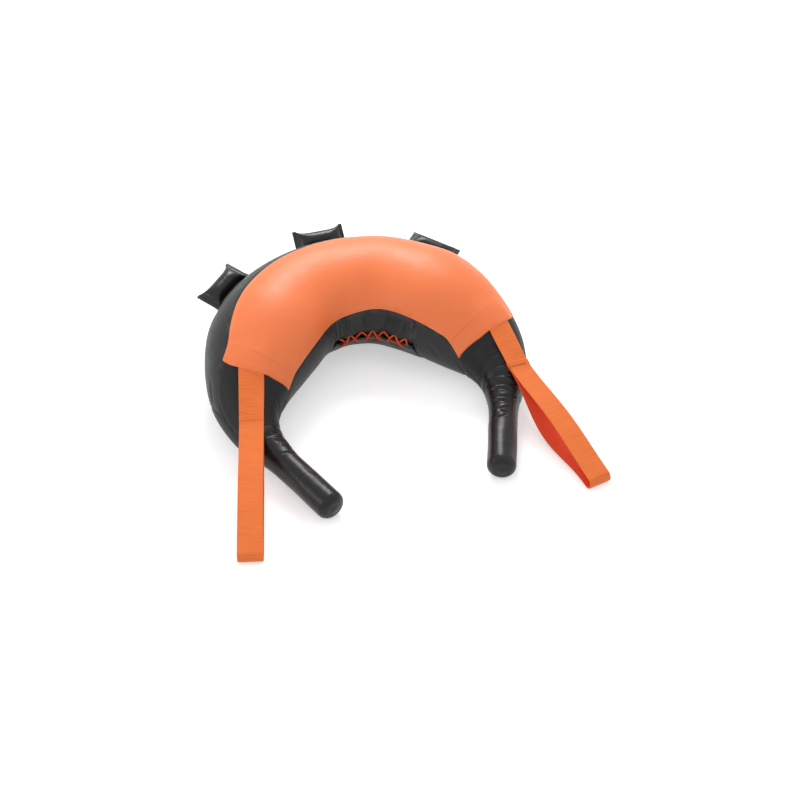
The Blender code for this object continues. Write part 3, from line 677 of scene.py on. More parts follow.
@dataclass
class BagShape:
    """The surface that every panel lies on."""

    apex: tuple[float, float, float] = (0.000757, 0.218505, 0.000016)
    crown_radius: float = 0.187
    crown_half_length: float = 0.144
    shoulder_radius: float = 0.483
    shoulder_length: float = 0.181
    neck_bend_radius: float = 0.161
    total_turn: float = math.radians(114.5)
    bend_blend: float = 0.050
    body_half_length: float = 0.465
    line_step: float = 0.001
    half_width: float = 0.1135
    grip_radius: float = 0.0262
    taper_start: float = 0.182
    taper_end: float = 0.542
    flattening: float = 0.07
    sinking: float = 0.07
    front_outer_seam: float = math.radians(51.5)
    front_inner_seam: float = math.radians(162)
    back_inner_seam: float = math.radians(250)
    back_outer_seam: float = math.radians(320)
    outer_tip: float = math.radians(20)
    inner_tip: float = math.radians(190)
    point_start: float = 0.300
    point_end: float = 0.410
    outer_twist: float = math.radians(13.5)
    inner_twist: float = math.radians(4)
    twist_start: float = -0.050
    twist_end: float = 0.200
    panel_half_length: float = 0.337
    panel_offset: float = 0.006
    end_slant: float = 0.012
    end_bow: float = 0.022
    end_reach: float = 0.100
    left_cross_seam: float = -0.099
    right_cross_seam: float = 0.231
    distance: Array = field(init=False, repr=False)
    heading: Array = field(init=False, repr=False)
    line: Array = field(init=False, repr=False)

    def __post_init__(self) -> None:
        """Walk the centre line once, with its corners smoothed."""
        half_window = round(self.bend_blend / self.line_step)
        half_count = round((self.body_half_length + 2 * self.bend_blend) / self.line_step)
        spread = np.arange(-half_count - half_window, half_count + half_window + 1) * self.line_step
        along = np.abs(spread)
        crown = np.minimum(along, self.crown_half_length) / self.crown_radius
        past_crown = along - self.crown_half_length
        shoulder = np.clip(past_crown, 0, self.shoulder_length) / self.shoulder_radius
        neck = np.maximum(past_crown - self.shoulder_length, 0) / self.neck_bend_radius
        raw = np.sign(spread) * np.minimum(crown + shoulder + neck, self.total_turn)
        window = np.hanning(2 * half_window + 3)[1:-1]
        self.heading = np.convolve(raw, window / window.sum(), "valid")
        self.distance = np.arange(-half_count, half_count + 1) * self.line_step
        slopes = joined(np.cos(self.heading), -np.sin(self.heading))
        steps = 0.5 * (slopes[1:] + slopes[:-1]) * self.line_step
        line = np.concatenate([[[0.0, 0.0]], np.cumsum(steps, axis=0)])
        self.line = line - line[half_count]

    def place(self, distance: Array) -> tuple[Array, Array, Array]:
        """Plan place on the line, its direction and the direction out of the crescent.

        Args:
            distance: Distances along the line from the apex.

        Returns:
            Three arrays of points and directions, with a last axis of 3.
        """
        distance = np.asarray(distance, float)
        turn = np.interp(distance, self.distance, self.heading)
        spot = joined(np.interp(distance, self.distance, self.line[:, 0]),
                      np.interp(distance, self.distance, self.line[:, 1]), 0.0)
        along = joined(np.cos(turn), -np.sin(turn), 0.0)
        return spot, along, joined(np.sin(turn), np.cos(turn), 0.0)

    def section(self, distance: Array) -> tuple[Array, Array, Array]:
        """Size of the section round the line.

        Args:
            distance: Distances along the line.

        Returns:
            Half width, half height and height of the middle.
        """
        fullness = fall(np.abs(distance), self.taper_start, self.taper_end)
        half_width = self.grip_radius + (self.half_width - self.grip_radius) * fullness
        half_height = half_width * (1 - self.flattening * fullness)
        return half_width, half_height, half_height * (1 - self.sinking * fullness)

    def point(self, distance: Array, angle: Array, depth: Value = 0.0) -> Array:
        """Points of the surface, never lower than the floor allows.

        Args:
            distance: Distances along the line.
            angle: Angles round the section.
            depth: Depths under the skin.

        Returns:
            Points in the frame, with a last axis of 3.
        """
        distance, angle, depth = np.broadcast_arrays(
            np.asarray(distance, float), np.asarray(angle, float), np.asarray(depth, float))
        spot, _, outward = self.place(distance)
        half_width, half_height, middle = self.section(distance)
        points = spot + outward * ((half_width - depth) * np.cos(angle))[..., None]
        points[..., 2] = np.maximum(middle + (half_height - depth) * np.sin(angle), np.maximum(depth, 0.0))
        return points + np.array(self.apex)

    def gusset_share(self, distance: Array) -> Array:
        """Share of its full width that a gusset has."""
        return fall(np.abs(distance), self.point_start, self.point_end)

    def twist(self, distance: Array) -> Array:
        """Share of the front's twist, from 1 on the left to -1 on the right."""
        return 2 * fall(distance, self.twist_start, self.twist_end) - 1

    def seam(self, full: float, tip: float, turned: float = 0.0) -> Field:
        """A seam's angle by distance, running to the gusset's tip, with its part of the twist."""
        return lambda distance: (tip + (full + turned * self.twist(distance) - tip)
                                 * self.gusset_share(distance))

    def panel_shift(self, distance: Array, share: Array) -> Array:
        """How far along the bag the front panel's points move, so that its ends are cut straight.

        Args:
            distance: Distances along the bag before the move.
            share: Share of the way from the outer seam to the inner seam.

        Returns:
            The moves along the bag.
        """
        end_shift = self.end_slant * share + self.end_bow * np.sin(math.pi * share)
        nearness = 1 - fall(np.abs(distance), self.panel_half_length - self.end_reach, self.panel_half_length)
        return (self.panel_offset + np.sign(distance) * end_shift) * nearness

    def panel_end(self, sign: int, angle: float) -> float:
        """Find the front panel's end.

        Args:
            sign: -1 for the left end, 1 for the right.
            angle: Angle round the section.

        Returns:
            The end's distance along the bag.
        """
        share = np.linspace(0, 1, 121)
        end = self.panel_row(sign, share)
        return float(np.interp(angle, self.front_angle(end, share), end))

    def panel_row(self, sign: int, share: Array, inset: float = 0.0) -> Array:
        """Distances along the bag of a line across the front panel, an inset from its end."""
        row = np.full_like(share, sign * (self.panel_half_length - inset))
        return row + self.panel_shift(row, share)

    def front_angle(self, distance: Array, share: Array) -> Array:
        """Angle at a share of the way from the front's outer seam to its inner seam."""
        low, high = self.front_outer(distance), self.front_inner(distance)
        return low + (high - low) * share

    @property
    def front_outer(self) -> Field:
        """Seam between the outer gusset and the front."""
        return self.seam(self.front_outer_seam, self.outer_tip, self.outer_twist)

    @property
    def front_inner(self) -> Field:
        """Seam between the front and the inner gusset."""
        return self.seam(self.front_inner_seam, self.inner_tip, self.inner_twist)

    @property
    def back_inner(self) -> Field:
        """Seam between the inner gusset and the back."""
        return self.seam(self.back_inner_seam, self.inner_tip)

    @property
    def back_outer(self) -> Field:
        """Seam between the back and the outer gusset, a whole turn after that gusset's tip."""
        return self.seam(self.back_outer_seam, self.outer_tip + WHOLE_TURN)

    def over(self, plan: Array, lift: float = 0.0) -> tuple[Array, Array]:
        """Points lifted off the upper surface over plan points.

        Args:
            plan: Plan points in the frame, n by 2.
            lift: Height off the skin.

        Returns:
            The points, and whether each one lies over the bag.
        """
        flat = np.asarray(plan, float) - np.array(self.apex[:2])
        inside = np.abs(self.distance) <= self.body_half_length
        line = self.line[inside]
        samples = self.distance[inside]
        nearest = np.argmin(((flat[:, None, :] - line[None]) ** 2).sum(-1), axis=1)
        distance = samples[nearest]
        spot, along, _ = self.place(distance)
        distance = np.clip(distance + ((flat - spot[:, :2]) * along[:, :2]).sum(-1),
                           -self.body_half_length, self.body_half_length)
        spot, _, outward = self.place(distance)
        out = ((flat - spot[:, :2]) * outward[:, :2]).sum(-1)
        half_width = self.section(distance)[0]
        over = np.abs(out) < half_width
        angle = np.arccos(np.clip(out / half_width, -1, 1))
        return self.point(distance, angle, -lift), over


@dataclass(frozen=True)
class Crease:
    """A fold line on the skin, with a raised lip on both sides.

    Its ends are (distance along the bag, angle in degrees).
    """

    start: tuple[float, float]
    end: tuple[float, float]
    depth: float
    width: float
    lip: float = 0.45

    def dip(self, distance: Array, angle: Array, radius: Array) -> Array:
        """Depth of the fold at points of the skin.

        Args:
            distance: Distances along the bag.
            angle: Angles round the section.
            radius: The section's radius there.

        Returns:
            How far the skin goes in; lips come out and are negative.
        """
        middle = math.radians((self.start[1] + self.end[1]) / 2)
        girth = np.mod(angle - middle + math.pi, WHOLE_TURN) - math.pi
        first = np.array([self.start[0], math.radians(self.start[1]) - middle])
        second = np.array([self.end[0], math.radians(self.end[1]) - middle])
        reach = float(np.mean(radius))
        run = np.array([second[0] - first[0], (second[1] - first[1]) * reach])
        length = float(np.hypot(*run))
        run = run / length
        offset = joined(distance - first[0], (girth - first[1]) * reach)
        walk = np.clip(offset @ run, 0, length)
        gap = np.linalg.norm(offset - walk[..., None] * run, axis=-1)
        strength = np.sqrt(np.clip(np.sin(math.pi * np.clip(walk / length, 0.04, 0.96)), 0, 1))
        share = gap / self.width
        return self.depth * strength * bell(share, 1.0) * (1 - self.lip * share ** 2)


def folds(*rows: tuple[float, ...]) -> tuple[Crease, ...]:
    """Creases from rows of place and angle of both ends, depth, width and, where given, lip."""
    return tuple(Crease(row[:2], row[2:4], *row[4:]) for row in rows)


@dataclass(frozen=True)
class Relief:
    """Creases and a slow swell that shape one stretch of skin."""

    creases: tuple[Crease, ...] = ()
    swell: float = 0.0006
    seed: int = 3
    waves: int = 5

    def dip(self, distance: Array, angle: Array, radius: Array) -> Array:
        """Depth of all folds and of the swell at points of the skin.

        Args:
            distance: Distances along the bag.
            angle: Angles round the section.
            radius: The section's radius there.

        Returns:
            How far the skin goes in.
        """
        draw = np.random.default_rng(self.seed)
        total = np.zeros(np.broadcast_shapes(distance.shape, angle.shape))
        for _ in range(self.waves):
            pitch, turns, phase = draw.uniform(24, 70), draw.integers(1, 4), draw.uniform(0, 6.28)
            total = total + np.sin(distance * pitch + turns * angle + phase)
        total = total * self.swell / self.waves
        for crease in self.creases:
            total = total + crease.dip(distance, angle, radius)
        return total


# ---- panels


@dataclass
class SeamForm:
    """How a sewn edge rolls into its seam."""

    dip: float = 0.0013
    reach: float = 0.0055
    tuck: float = 0.0024
    roll: float = 0.0016
    steps: tuple[float, ...] = (0.0, 0.0004, 0.0008, 0.0013, 0.0020, 0.0030, 0.0044, 0.0062)

    def depth(self, distance: Array) -> Array:
        """Depth of the skin by the distance from its seam."""
        return self.dip * bell(distance, self.reach) + self.tuck * edge_roll(distance, self.roll)


@dataclass
class Panel:
    """One sewn sheet of the bag's wall, between two distances and two seams."""

    name: str
    nodes: tuple[str, ...]
    start: float
    end: float
    low: Field
    high: Field
    thickness: float = 0.0022
    fine: float = 0.003
    coarse: float = 0.006
    detailed: Callable[[float], bool] = lambda _distance: True
    relief: Relief = field(default_factory=Relief)
    seam: SeamForm = field(default_factory=SeamForm)
    end_seams: bool = True
    rubbed_and_highlight_reach: float = 0.012
    calm_reach: float = 0.010
    lift: Optional[Callable[[Array, Array, Array], Array]] = None
    extra: Optional[Callable[[Array, Array], Array]] = None
    shift: Optional[Callable[[Array, Array], Array]] = None

    def rows(self) -> Array:
        """Lay the rows, closer where the panel has detail and at its ends.

        Returns:
            The rows' distances along the bag.
        """
        marks = [self.start]
        while marks[-1] < self.end:
            step = self.fine if self.detailed(marks[-1]) else self.coarse
            marks.append(marks[-1] + step)
        marks = np.array(marks)
        marks = self.start + (marks - self.start) * (self.end - self.start) / (marks[-1] - self.start)
        edge = np.array(self.seam.steps)
        middle = marks[(marks > self.start + edge[-1] * 1.3) & (marks < self.end - edge[-1] * 1.3)]
        return np.concatenate([self.start + edge, middle, (self.end - edge)[::-1]])

    def grid(self, shape: BagShape) -> tuple[Array, Array, Array, Array]:
        """Distances and angles of all points, and how far each is from the long and short edges.

        Args:
            shape: The bag's form.

        Returns:
            Distance, angle, distance to a long edge and distance to an end, as grids.
        """
        rows = self.rows()
        low, high = self.low(rows), self.high(rows)
        radius = shape.section(rows)[0]
        width = (high - low) * radius
        edge = np.array(self.seam.steps)
        inner_count = max(3, math.ceil((width.max() - 2 * edge[-1]) / (self.fine * 1.15)))
        scale = np.minimum(1.0, 0.40 * width / edge[-1])
        near = edge[None] * scale[:, None]
        inner = np.linspace(0, 1, inner_count + 2)[1:-1]
        middle = near[:, -1:] + (width[:, None] - 2 * near[:, -1:]) * inner[None]
        across = np.concatenate([near, middle, (width[:, None] - near)[:, ::-1]], axis=1)
        angle = low[:, None] + across / radius[:, None]
        distance = np.broadcast_to(rows[:, None], angle.shape)
        side = np.minimum(across, width[:, None] - across) / np.maximum(scale[:, None], 1e-6)
        tip = np.minimum(distance - self.start, self.end - distance)
        if self.shift is not None:
            share = across / width[:, None]
            distance = distance + self.shift(distance, share)
            low, high = self.low(distance), self.high(distance)
            angle = low + (high - low) * share
        return distance, angle, side, tip

    def build(self, shape: BagShape, material: Material) -> Piece:
        """Make the panel's object.

        Args:
            shape: The bag's form.
            material: The panel's finish.

        Returns:
            The finished piece, riding on the bag.
        """
        distance, angle, side, tip = self.grid(shape)
        radius = shape.section(distance)[0]
        depth = self.seam.depth(side)
        if self.end_seams:
            depth = np.maximum(depth, self.seam.depth(tip))
        calm = np.clip(side / self.calm_reach, 0, 1)
        depth = depth + self.relief.dip(distance, angle, radius) * calm
        if self.extra is not None:
            depth = depth + self.extra(distance, angle)
        if self.lift is not None:
            depth = depth - self.lift(distance, angle, tip)
        edge = np.minimum(side, tip) if self.end_seams else side
        outer = shape.point(distance, angle, depth)
        inner = shape.point(distance, angle, depth + self.thickness)
        # The seam mark brings the lighter seam colour: rubbing and a painted highlight.
        piece = shell(outer, inner, {"seam": fade(edge, self.rubbed_and_highlight_reach)}).to_object(self.name, material)
        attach(piece, "root")
        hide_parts(*self.nodes)
        return piece


# ---- stitches


class StitchWork(Board):
    """Rows of stitches, laid along lines of points by Geometry Nodes."""

    INPUTS = {"Spacing": "NodeSocketFloat", "Length": "NodeSocketFloat", "Radius": "NodeSocketFloat",
              "Thread": "NodeSocketMaterial"}

    def __init__(self) -> None:
        """Build the node tree once."""
        super().__init__(bpy.data.node_groups.new("stitch_row", "GeometryNodeTree"))
        panel = self.tree.interface
        panel.new_socket("Geometry", in_out="INPUT", socket_type="NodeSocketGeometry")
        self.inputs = {name: panel.new_socket(name, in_out="INPUT", socket_type=kind).identifier
                       for name, kind in self.INPUTS.items()}
        panel.new_socket("Geometry", in_out="OUTPUT", socket_type="NodeSocketGeometry")
        given = self.node("NodeGroupInput")
        line = self.node("GeometryNodeMeshToCurve", {}, {"Mesh": given["Geometry"]})
        spaced = self.node("GeometryNodeResampleCurve", {"mode": "LENGTH"},
                           {"Curve": line, "Length": given["Spacing"]})
        bead = self.node("GeometryNodeMeshUVSphere", {}, {"Segments": 6, "Rings": 5, "Radius": 1.0})
        size = self.node("ShaderNodeCombineXYZ", {},
                         {0: given["Radius"], 1: given["Radius"], 2: given["Length"] * 0.5})
        stitch = self.node("GeometryNodeTransform", {}, {"Geometry": bead, "Scale": size})
        tangent = self.node("GeometryNodeInputTangent")
        turn = self.node("FunctionNodeAlignRotationToVector", {"axis": "Z"}, {"Vector": tangent})
        laid = self.node("GeometryNodeInstanceOnPoints", {},
                         {"Points": spaced, "Instance": stitch, "Rotation": turn})
        real = self.node("GeometryNodeRealizeInstances", {}, {"Geometry": laid})
        soft = self.node("GeometryNodeSetShadeSmooth", {}, {"Geometry": real})
        dyed = self.node("GeometryNodeSetMaterial", {}, {"Geometry": soft, "Material": given["Thread"]})
        self.node("NodeGroupOutput", {}, {"Geometry": dyed})

    def sew(self, name: str, lines: Sequence[Array], thread: Material, spacing: float = 0.0042,
            length: float = 0.0031, radius: float = 0.00045) -> Piece:
        """Lay stitches along lines of points.

        Args:
            name: The piece's name.
            lines: Arrays of points, one a row of stitches.
            thread: The thread's finish.
            spacing: Distance from stitch to stitch.
            length: Length of the thread that shows.
            radius: The thread's radius.

        Returns:
            A plain mesh of all stitches, without a parent.
        """
        mesh = bpy.data.meshes.new(name)
        edges: list[tuple[int, int]] = []
        start = 0
        for line in lines:
            edges.extend((start + step, start + step + 1) for step in range(len(line) - 1))
            start += len(line)
        mesh.from_pydata(np.concatenate(lines).tolist(), edges, [])
        guide = link_object(name + "_line", mesh)
        row = guide.modifiers.new("stitches", "NODES")
        row.node_group = self.tree
        for identifier, value in zip(self.inputs.values(), (spacing, length, radius, thread)):
            row[identifier] = value
        bpy.context.view_layer.update()
        graph = bpy.context.evaluated_depsgraph_get()
        made = bpy.data.meshes.new_from_object(guide.evaluated_get(graph))
        made.name = name
        bpy.data.objects.remove(guide, do_unlink=True)
        return link_object(name, made)


# ---- covers


@dataclass
class Covers:
    """The bag's sewn walls: front, back and the gussets along both edges."""

    shape: BagShape
    finishes: Finishes
    left_neck: float = 0.452
    right_neck: float = 0.434
    gusset_end: float = 0.4095
    stitch_offset: float = 0.0042
    stitch_depth: float = 0.0006

    front_relief: Relief = Relief(creases=folds(
        (-0.392, 60, -0.400, 150, 0.0018, 0.0040),
        (-0.412, 75, -0.408, 190, 0.0030, 0.0036),
        (-0.372, 140, -0.402, 176, 0.0022, 0.0050),
        (-0.352, 92, -0.378, 74, 0.0016, 0.0080),
        (0.376, 96, 0.384, 150, 0.0028, 0.0070),
        (0.394, 62, 0.402, 128, 0.0034, 0.0050),
        (0.408, 78, 0.414, 160, 0.0030, 0.0042),
        (0.352, 118, 0.372, 132, 0.0020, 0.0080),
    ), swell=0.0012, seed=5)
    gusset_relief: Relief = Relief(creases=folds(
        (-0.345, 28, -0.372, 8, 0.0024, 0.0060),
        (-0.300, -12, -0.330, -24, 0.0020, 0.0080),
        (0.330, 20, 0.352, -4, 0.0022, 0.0070),
        (-0.210, 30, -0.232, 6, 0.0012, 0.0100),
        (0.215, 26, 0.240, 0, 0.0014, 0.0090),
    ), swell=0.0012, seed=8)
    inner_relief: Relief = Relief(creases=folds(
        (-0.104, 176, -0.106, 226, 0.0028, 0.0048),
        (-0.132, 172, -0.150, 208, 0.0022, 0.0060),
        (0.237, 178, 0.240, 238, 0.0024, 0.0046),
        (0.272, 178, 0.300, 196, 0.0018, 0.0080),
        (0.352, 186, 0.368, 204, 0.0026, 0.0050),
        (0.378, 182, 0.388, 202, 0.0026, 0.0044),
        (-0.352, 186, -0.372, 206, 0.0024, 0.0050),
    ), swell=0.0012, seed=12)

    def build(self) -> list[Piece]:
        """Make all walls but the laced middle of the inner gusset.

        Returns:
            The pieces.
        """
        form, looks = self.shape, self.finishes
        neck = form.panel_half_length - 0.030

        def bare(distance: float) -> bool:
            """Whether a place is past the panel, where the cover shows."""
            return abs(distance) > neck

        made = [
            Panel("cover_front", ("front_cover",), -self.left_neck, self.right_neck, form.front_outer,
                  form.front_inner, fine=0.0024, coarse=0.010, detailed=bare,
                  relief=self.front_relief).build(form, looks.cover),
            Panel("cover_back", ("back_cover",), -self.left_neck, self.right_neck, form.back_inner,
                  form.back_outer, fine=0.003, coarse=0.007, detailed=bare,
                  relief=Relief(swell=0.0009, seed=2)).build(form, looks.cover),
            Panel("gusset_outer", ("outer_gusset",), -self.gusset_end, self.gusset_end,
                  lambda distance: form.back_outer(distance) - WHOLE_TURN, form.front_outer,
                  relief=self.gusset_relief).build(form, looks.gusset),
        ]
        for name, start, end in (("left", -self.gusset_end, form.left_cross_seam),
                                 ("right", form.right_cross_seam, self.gusset_end)):
            made.append(Panel(f"gusset_inner_{name}", (f"inner_gusset_{name}",), start, end, form.front_inner,
                              form.back_inner, fine=0.0026, relief=self.inner_relief
                              ).build(form, looks.gusset))
        return made

    def seam_lines(self) -> list[Array]:
        """Lay the lines of the stitching beside the seams.

        Returns:
            Arrays of points, one a seam.
        """
        form = self.shape
        rows = np.arange(-self.left_neck + 0.006, self.right_neck - 0.006, 0.002)
        rows = rows[np.abs(rows) < self.gusset_end - 0.012]
        share = np.minimum(1.0, form.gusset_share(rows) * 6)
        offset = self.stitch_offset * share / form.section(rows)[0]
        return [form.point(rows, seam(rows) + side * offset, self.stitch_depth)
                for seam, side in ((form.front_outer, -1), (form.front_inner, 1),
                                   (form.back_inner, -1), (form.back_outer, 1))]


@dataclass
class LacedSlit:
    """The filling slit inside the crescent: two flaps, the tongue behind them and the lacing."""

    shape: BagShape
    finishes: Finishes
    full_angle: float = math.radians(196)
    middle: float = 0.066
    half_length: float = 0.150
    half_opening: float = 0.006
    tongue_half_length: float = 0.160
    tongue_half_width: float = 0.026
    cord_radius: float = 0.0019
    row_half_spacing: float = 0.012
    lace_half_span: float = 0.074
    crossings: int = 6

    def angle(self, distance: Array) -> Array:
        """Angle of the slit's middle line, which takes part in the twist."""
        return self.full_angle + self.shape.inner_twist * self.shape.twist(distance)

    def half_angle(self, distance: Array) -> Array:
        """Half of the slit's opening as an angle, closing towards its ends."""
        share = np.minimum(np.abs(distance - self.middle) / self.half_length, 1.0)
        return self.half_opening * np.sqrt(1 - share ** 2) / self.shape.section(distance)[0]

    def edge(self, side: int) -> Field:
        """Angle by distance of the slit's edge towards the front (-1) or the back (1)."""
        return lambda distance: self.angle(distance) + side * self.half_angle(distance)

    def walked_along(self, distance: Array) -> Array:
        """Length along the slit's middle line from its middle, at distances along the bag."""
        return np.interp(distance, *self.measured(401))

    def measured(self, count: int) -> tuple[Array, Array]:
        """Measure the slit's middle line.

        Args:
            count: How many samples to take.

        Returns:
            The samples' distances along the bag, and lengths from the slit's middle.
        """
        samples = self.middle + np.linspace(-self.half_length, self.half_length, count)
        length = walked(self.shape.point(samples, self.angle(samples)))
        return samples, length - length[-1] / 2

    def pull(self, side: int) -> Callable[[Array, Array], Array]:
        """Puckers that the lace pulls into one flap.

        Args:
            side: -1 for the flap towards the front, 1 for the one towards the back.

        Returns:
            A function of distance and angle that gives the skin's depth.
        """
        pitch = 2 * self.lace_half_span / self.crossings

        def dip(distance: Array, angle: Array) -> Array:
            """Sink the skin into the puckers and curl the flap's edge.

            Args:
                distance: Distances along the bag.
                angle: Angles round the section.

            Returns:
                How far the skin goes in.
            """
            radius = self.shape.section(distance)[0]
            gap = np.abs(angle - self.angle(distance)) * radius
            reach = bell(np.maximum(gap - self.half_opening, 0), 0.020 if side > 0 else 0.013)
            along = self.walked_along(distance)
            held = fall(np.abs(along), self.lace_half_span, self.lace_half_span + 0.03)
            wave = np.cos(WHOLE_TURN * along / (2 * pitch) + (0 if side > 0 else math.pi))
            slow = np.sin(along * 61 + 1.3) + 0.6 * np.sin(along * 143)
            depth = 0.0030 if side > 0 else 0.0016
            curl = bell(np.maximum(gap - self.half_opening, 0), 0.006) * (-0.0022 if side > 0 else 0.0012)
            return held * (reach * depth * (wave + 0.5 * slow) + curl)

        return dip

    def lace_points(self) -> Array:
        """Lead the cord across and back, dipping into a hole at each turn.

        Returns:
            Points of its middle line.
        """
        form = self.shape
        samples, along = self.measured(161)
        row_angle = self.row_half_spacing / form.half_width
        low = self.cord_radius + 0.0006

        def spot(crossing: Array, wave: Array, height: Array) -> Array:
            """Points at a count of crossings, a share of the way across and a height."""
            share = 2 * crossing / self.crossings - 1
            distance = np.interp(share * self.lace_half_span, along, samples)
            return form.point(distance, self.angle(distance) - row_angle * wave, -height)

        out = np.linspace(0, self.crossings, self.crossings * 24 + 1)
        swing = np.cos(math.pi * out)
        ends = np.abs(swing) ** 10
        first = spot(out, np.sign(swing) * np.abs(swing) ** 0.8, low - 0.0036 * ends)
        turn = np.linspace(0, math.pi, 9)[1:-1]
        last = math.cos(math.pi * self.crossings)
        bend = spot(self.crossings + 0.5 * np.sin(turn), last * np.cos(turn), np.full_like(turn, low))
        back = out[::-1]
        swing = -np.cos(math.pi * back)
        ends = np.abs(swing) ** 10
        rise = (2 * self.cord_radius + 0.0004) * (1 - np.abs(swing) ** 3)
        second = spot(back, np.sign(swing) * np.abs(swing) ** 0.8, low + rise - 0.0036 * ends)
        return np.concatenate([first, bend, second])

    def build_cord(self) -> Piece:
        """Make the laced cord as one tube with its own UV map.

        Returns:
            The cord, riding on the bag.
        """
        path = self.lace_points()
        length = walked(path)
        even = np.arange(0, length[-1], 0.0009)
        path = np.stack([np.interp(even, length, path[:, axis]) for axis in range(3)], axis=-1)
        for _ in range(3):
            path[1:-1] = (path[:-2] + 2 * path[1:-1] + path[2:]) / 4
        tangent = unit(np.gradient(path, axis=0))
        normal = np.empty_like(path)
        guess = unit(np.cross(tangent[0], [0.3, 0.2, 1.0]))
        for step, direction in enumerate(tangent):
            guess = unit(guess - direction * float(guess @ direction))
            normal[step] = guess
        side = np.cross(tangent, normal)
        turn = around(12)
        rings = path[:, None] + self.cord_radius * (normal[:, None] * np.cos(turn)[None, :, None]
                                                    + side[:, None] * np.sin(turn)[None, :, None])
        uv = joined(turn[None] / WHOLE_TURN, even[:, None])
        piece = closed_tube(rings, uv).to_object("lace", self.finishes.cord)
        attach(piece, "root")
        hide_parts("lacing")
        return piece

    def build(self) -> list[Piece]:
        """Make the flaps, the tongue and the cord.

        Returns:
            The pieces.
        """
        form, looks = self.shape, self.finishes
        ends = (form.left_cross_seam, form.right_cross_seam)
        relief = Relief(creases=folds(
            (-0.080, 172, -0.072, 190, 0.0020, 0.0070),
            (-0.026, 170, -0.038, 188, 0.0022, 0.0090),
            (0.048, 168, 0.056, 186, 0.0022, 0.0080),
            (0.150, 166, 0.140, 184, 0.0018, 0.0080),
            (0.206, 164, 0.198, 184, 0.0020, 0.0070),
        ), swell=0.0014, seed=21)
        made = [
            Panel("flap_upper", ("lace_flap_upper",), *ends, form.front_inner, self.edge(-1),
                  fine=0.0024, relief=relief, extra=self.pull(-1)).build(form, looks.gusset),
            Panel("flap_lower", ("lace_flap_lower",), *ends, self.edge(1), form.back_inner,
                  fine=0.0020, relief=Relief(swell=0.0018, seed=23),
                  extra=self.pull(1)).build(form, looks.gusset),
        ]
        spread = self.tongue_half_width / form.half_width
        tongue = Panel("tongue", ("lace_tongue",), self.middle - self.tongue_half_length,
                       self.middle + self.tongue_half_length,
                       lambda distance: self.angle(distance) - spread,
                       lambda distance: self.angle(distance) + spread,
                       thickness=0.0014, fine=0.005, relief=Relief(swell=0.0008, seed=30),
                       lift=lambda distance, _angle, _tip: np.full_like(distance, -0.0052)
                       ).build(form, looks.cover)
        return [*made, tongue, self.build_cord()]


# ---- straps


class SideName(Enum):
    """The two sides of the bag, as seen from the grips' tips."""

    LEFT = "left"
    RIGHT = "right"


@dataclass(frozen=True)
class Side:
    """A side of the bag: which way it lies, and how its strap leaves the hem and hangs."""

    name: SideName
    sign: int
    strap_angle: float
    heading: float
    roll: float
    tab_length: float
    sag: float
    arch: float


SIDES = (
    Side(SideName.LEFT, -1, math.radians(98), math.radians(15), math.radians(3), 0.077, 0.006, 0.004),
    Side(SideName.RIGHT, 1, math.radians(81), math.radians(11), math.radians(8), 0.069, 0.030, 0.008),
)


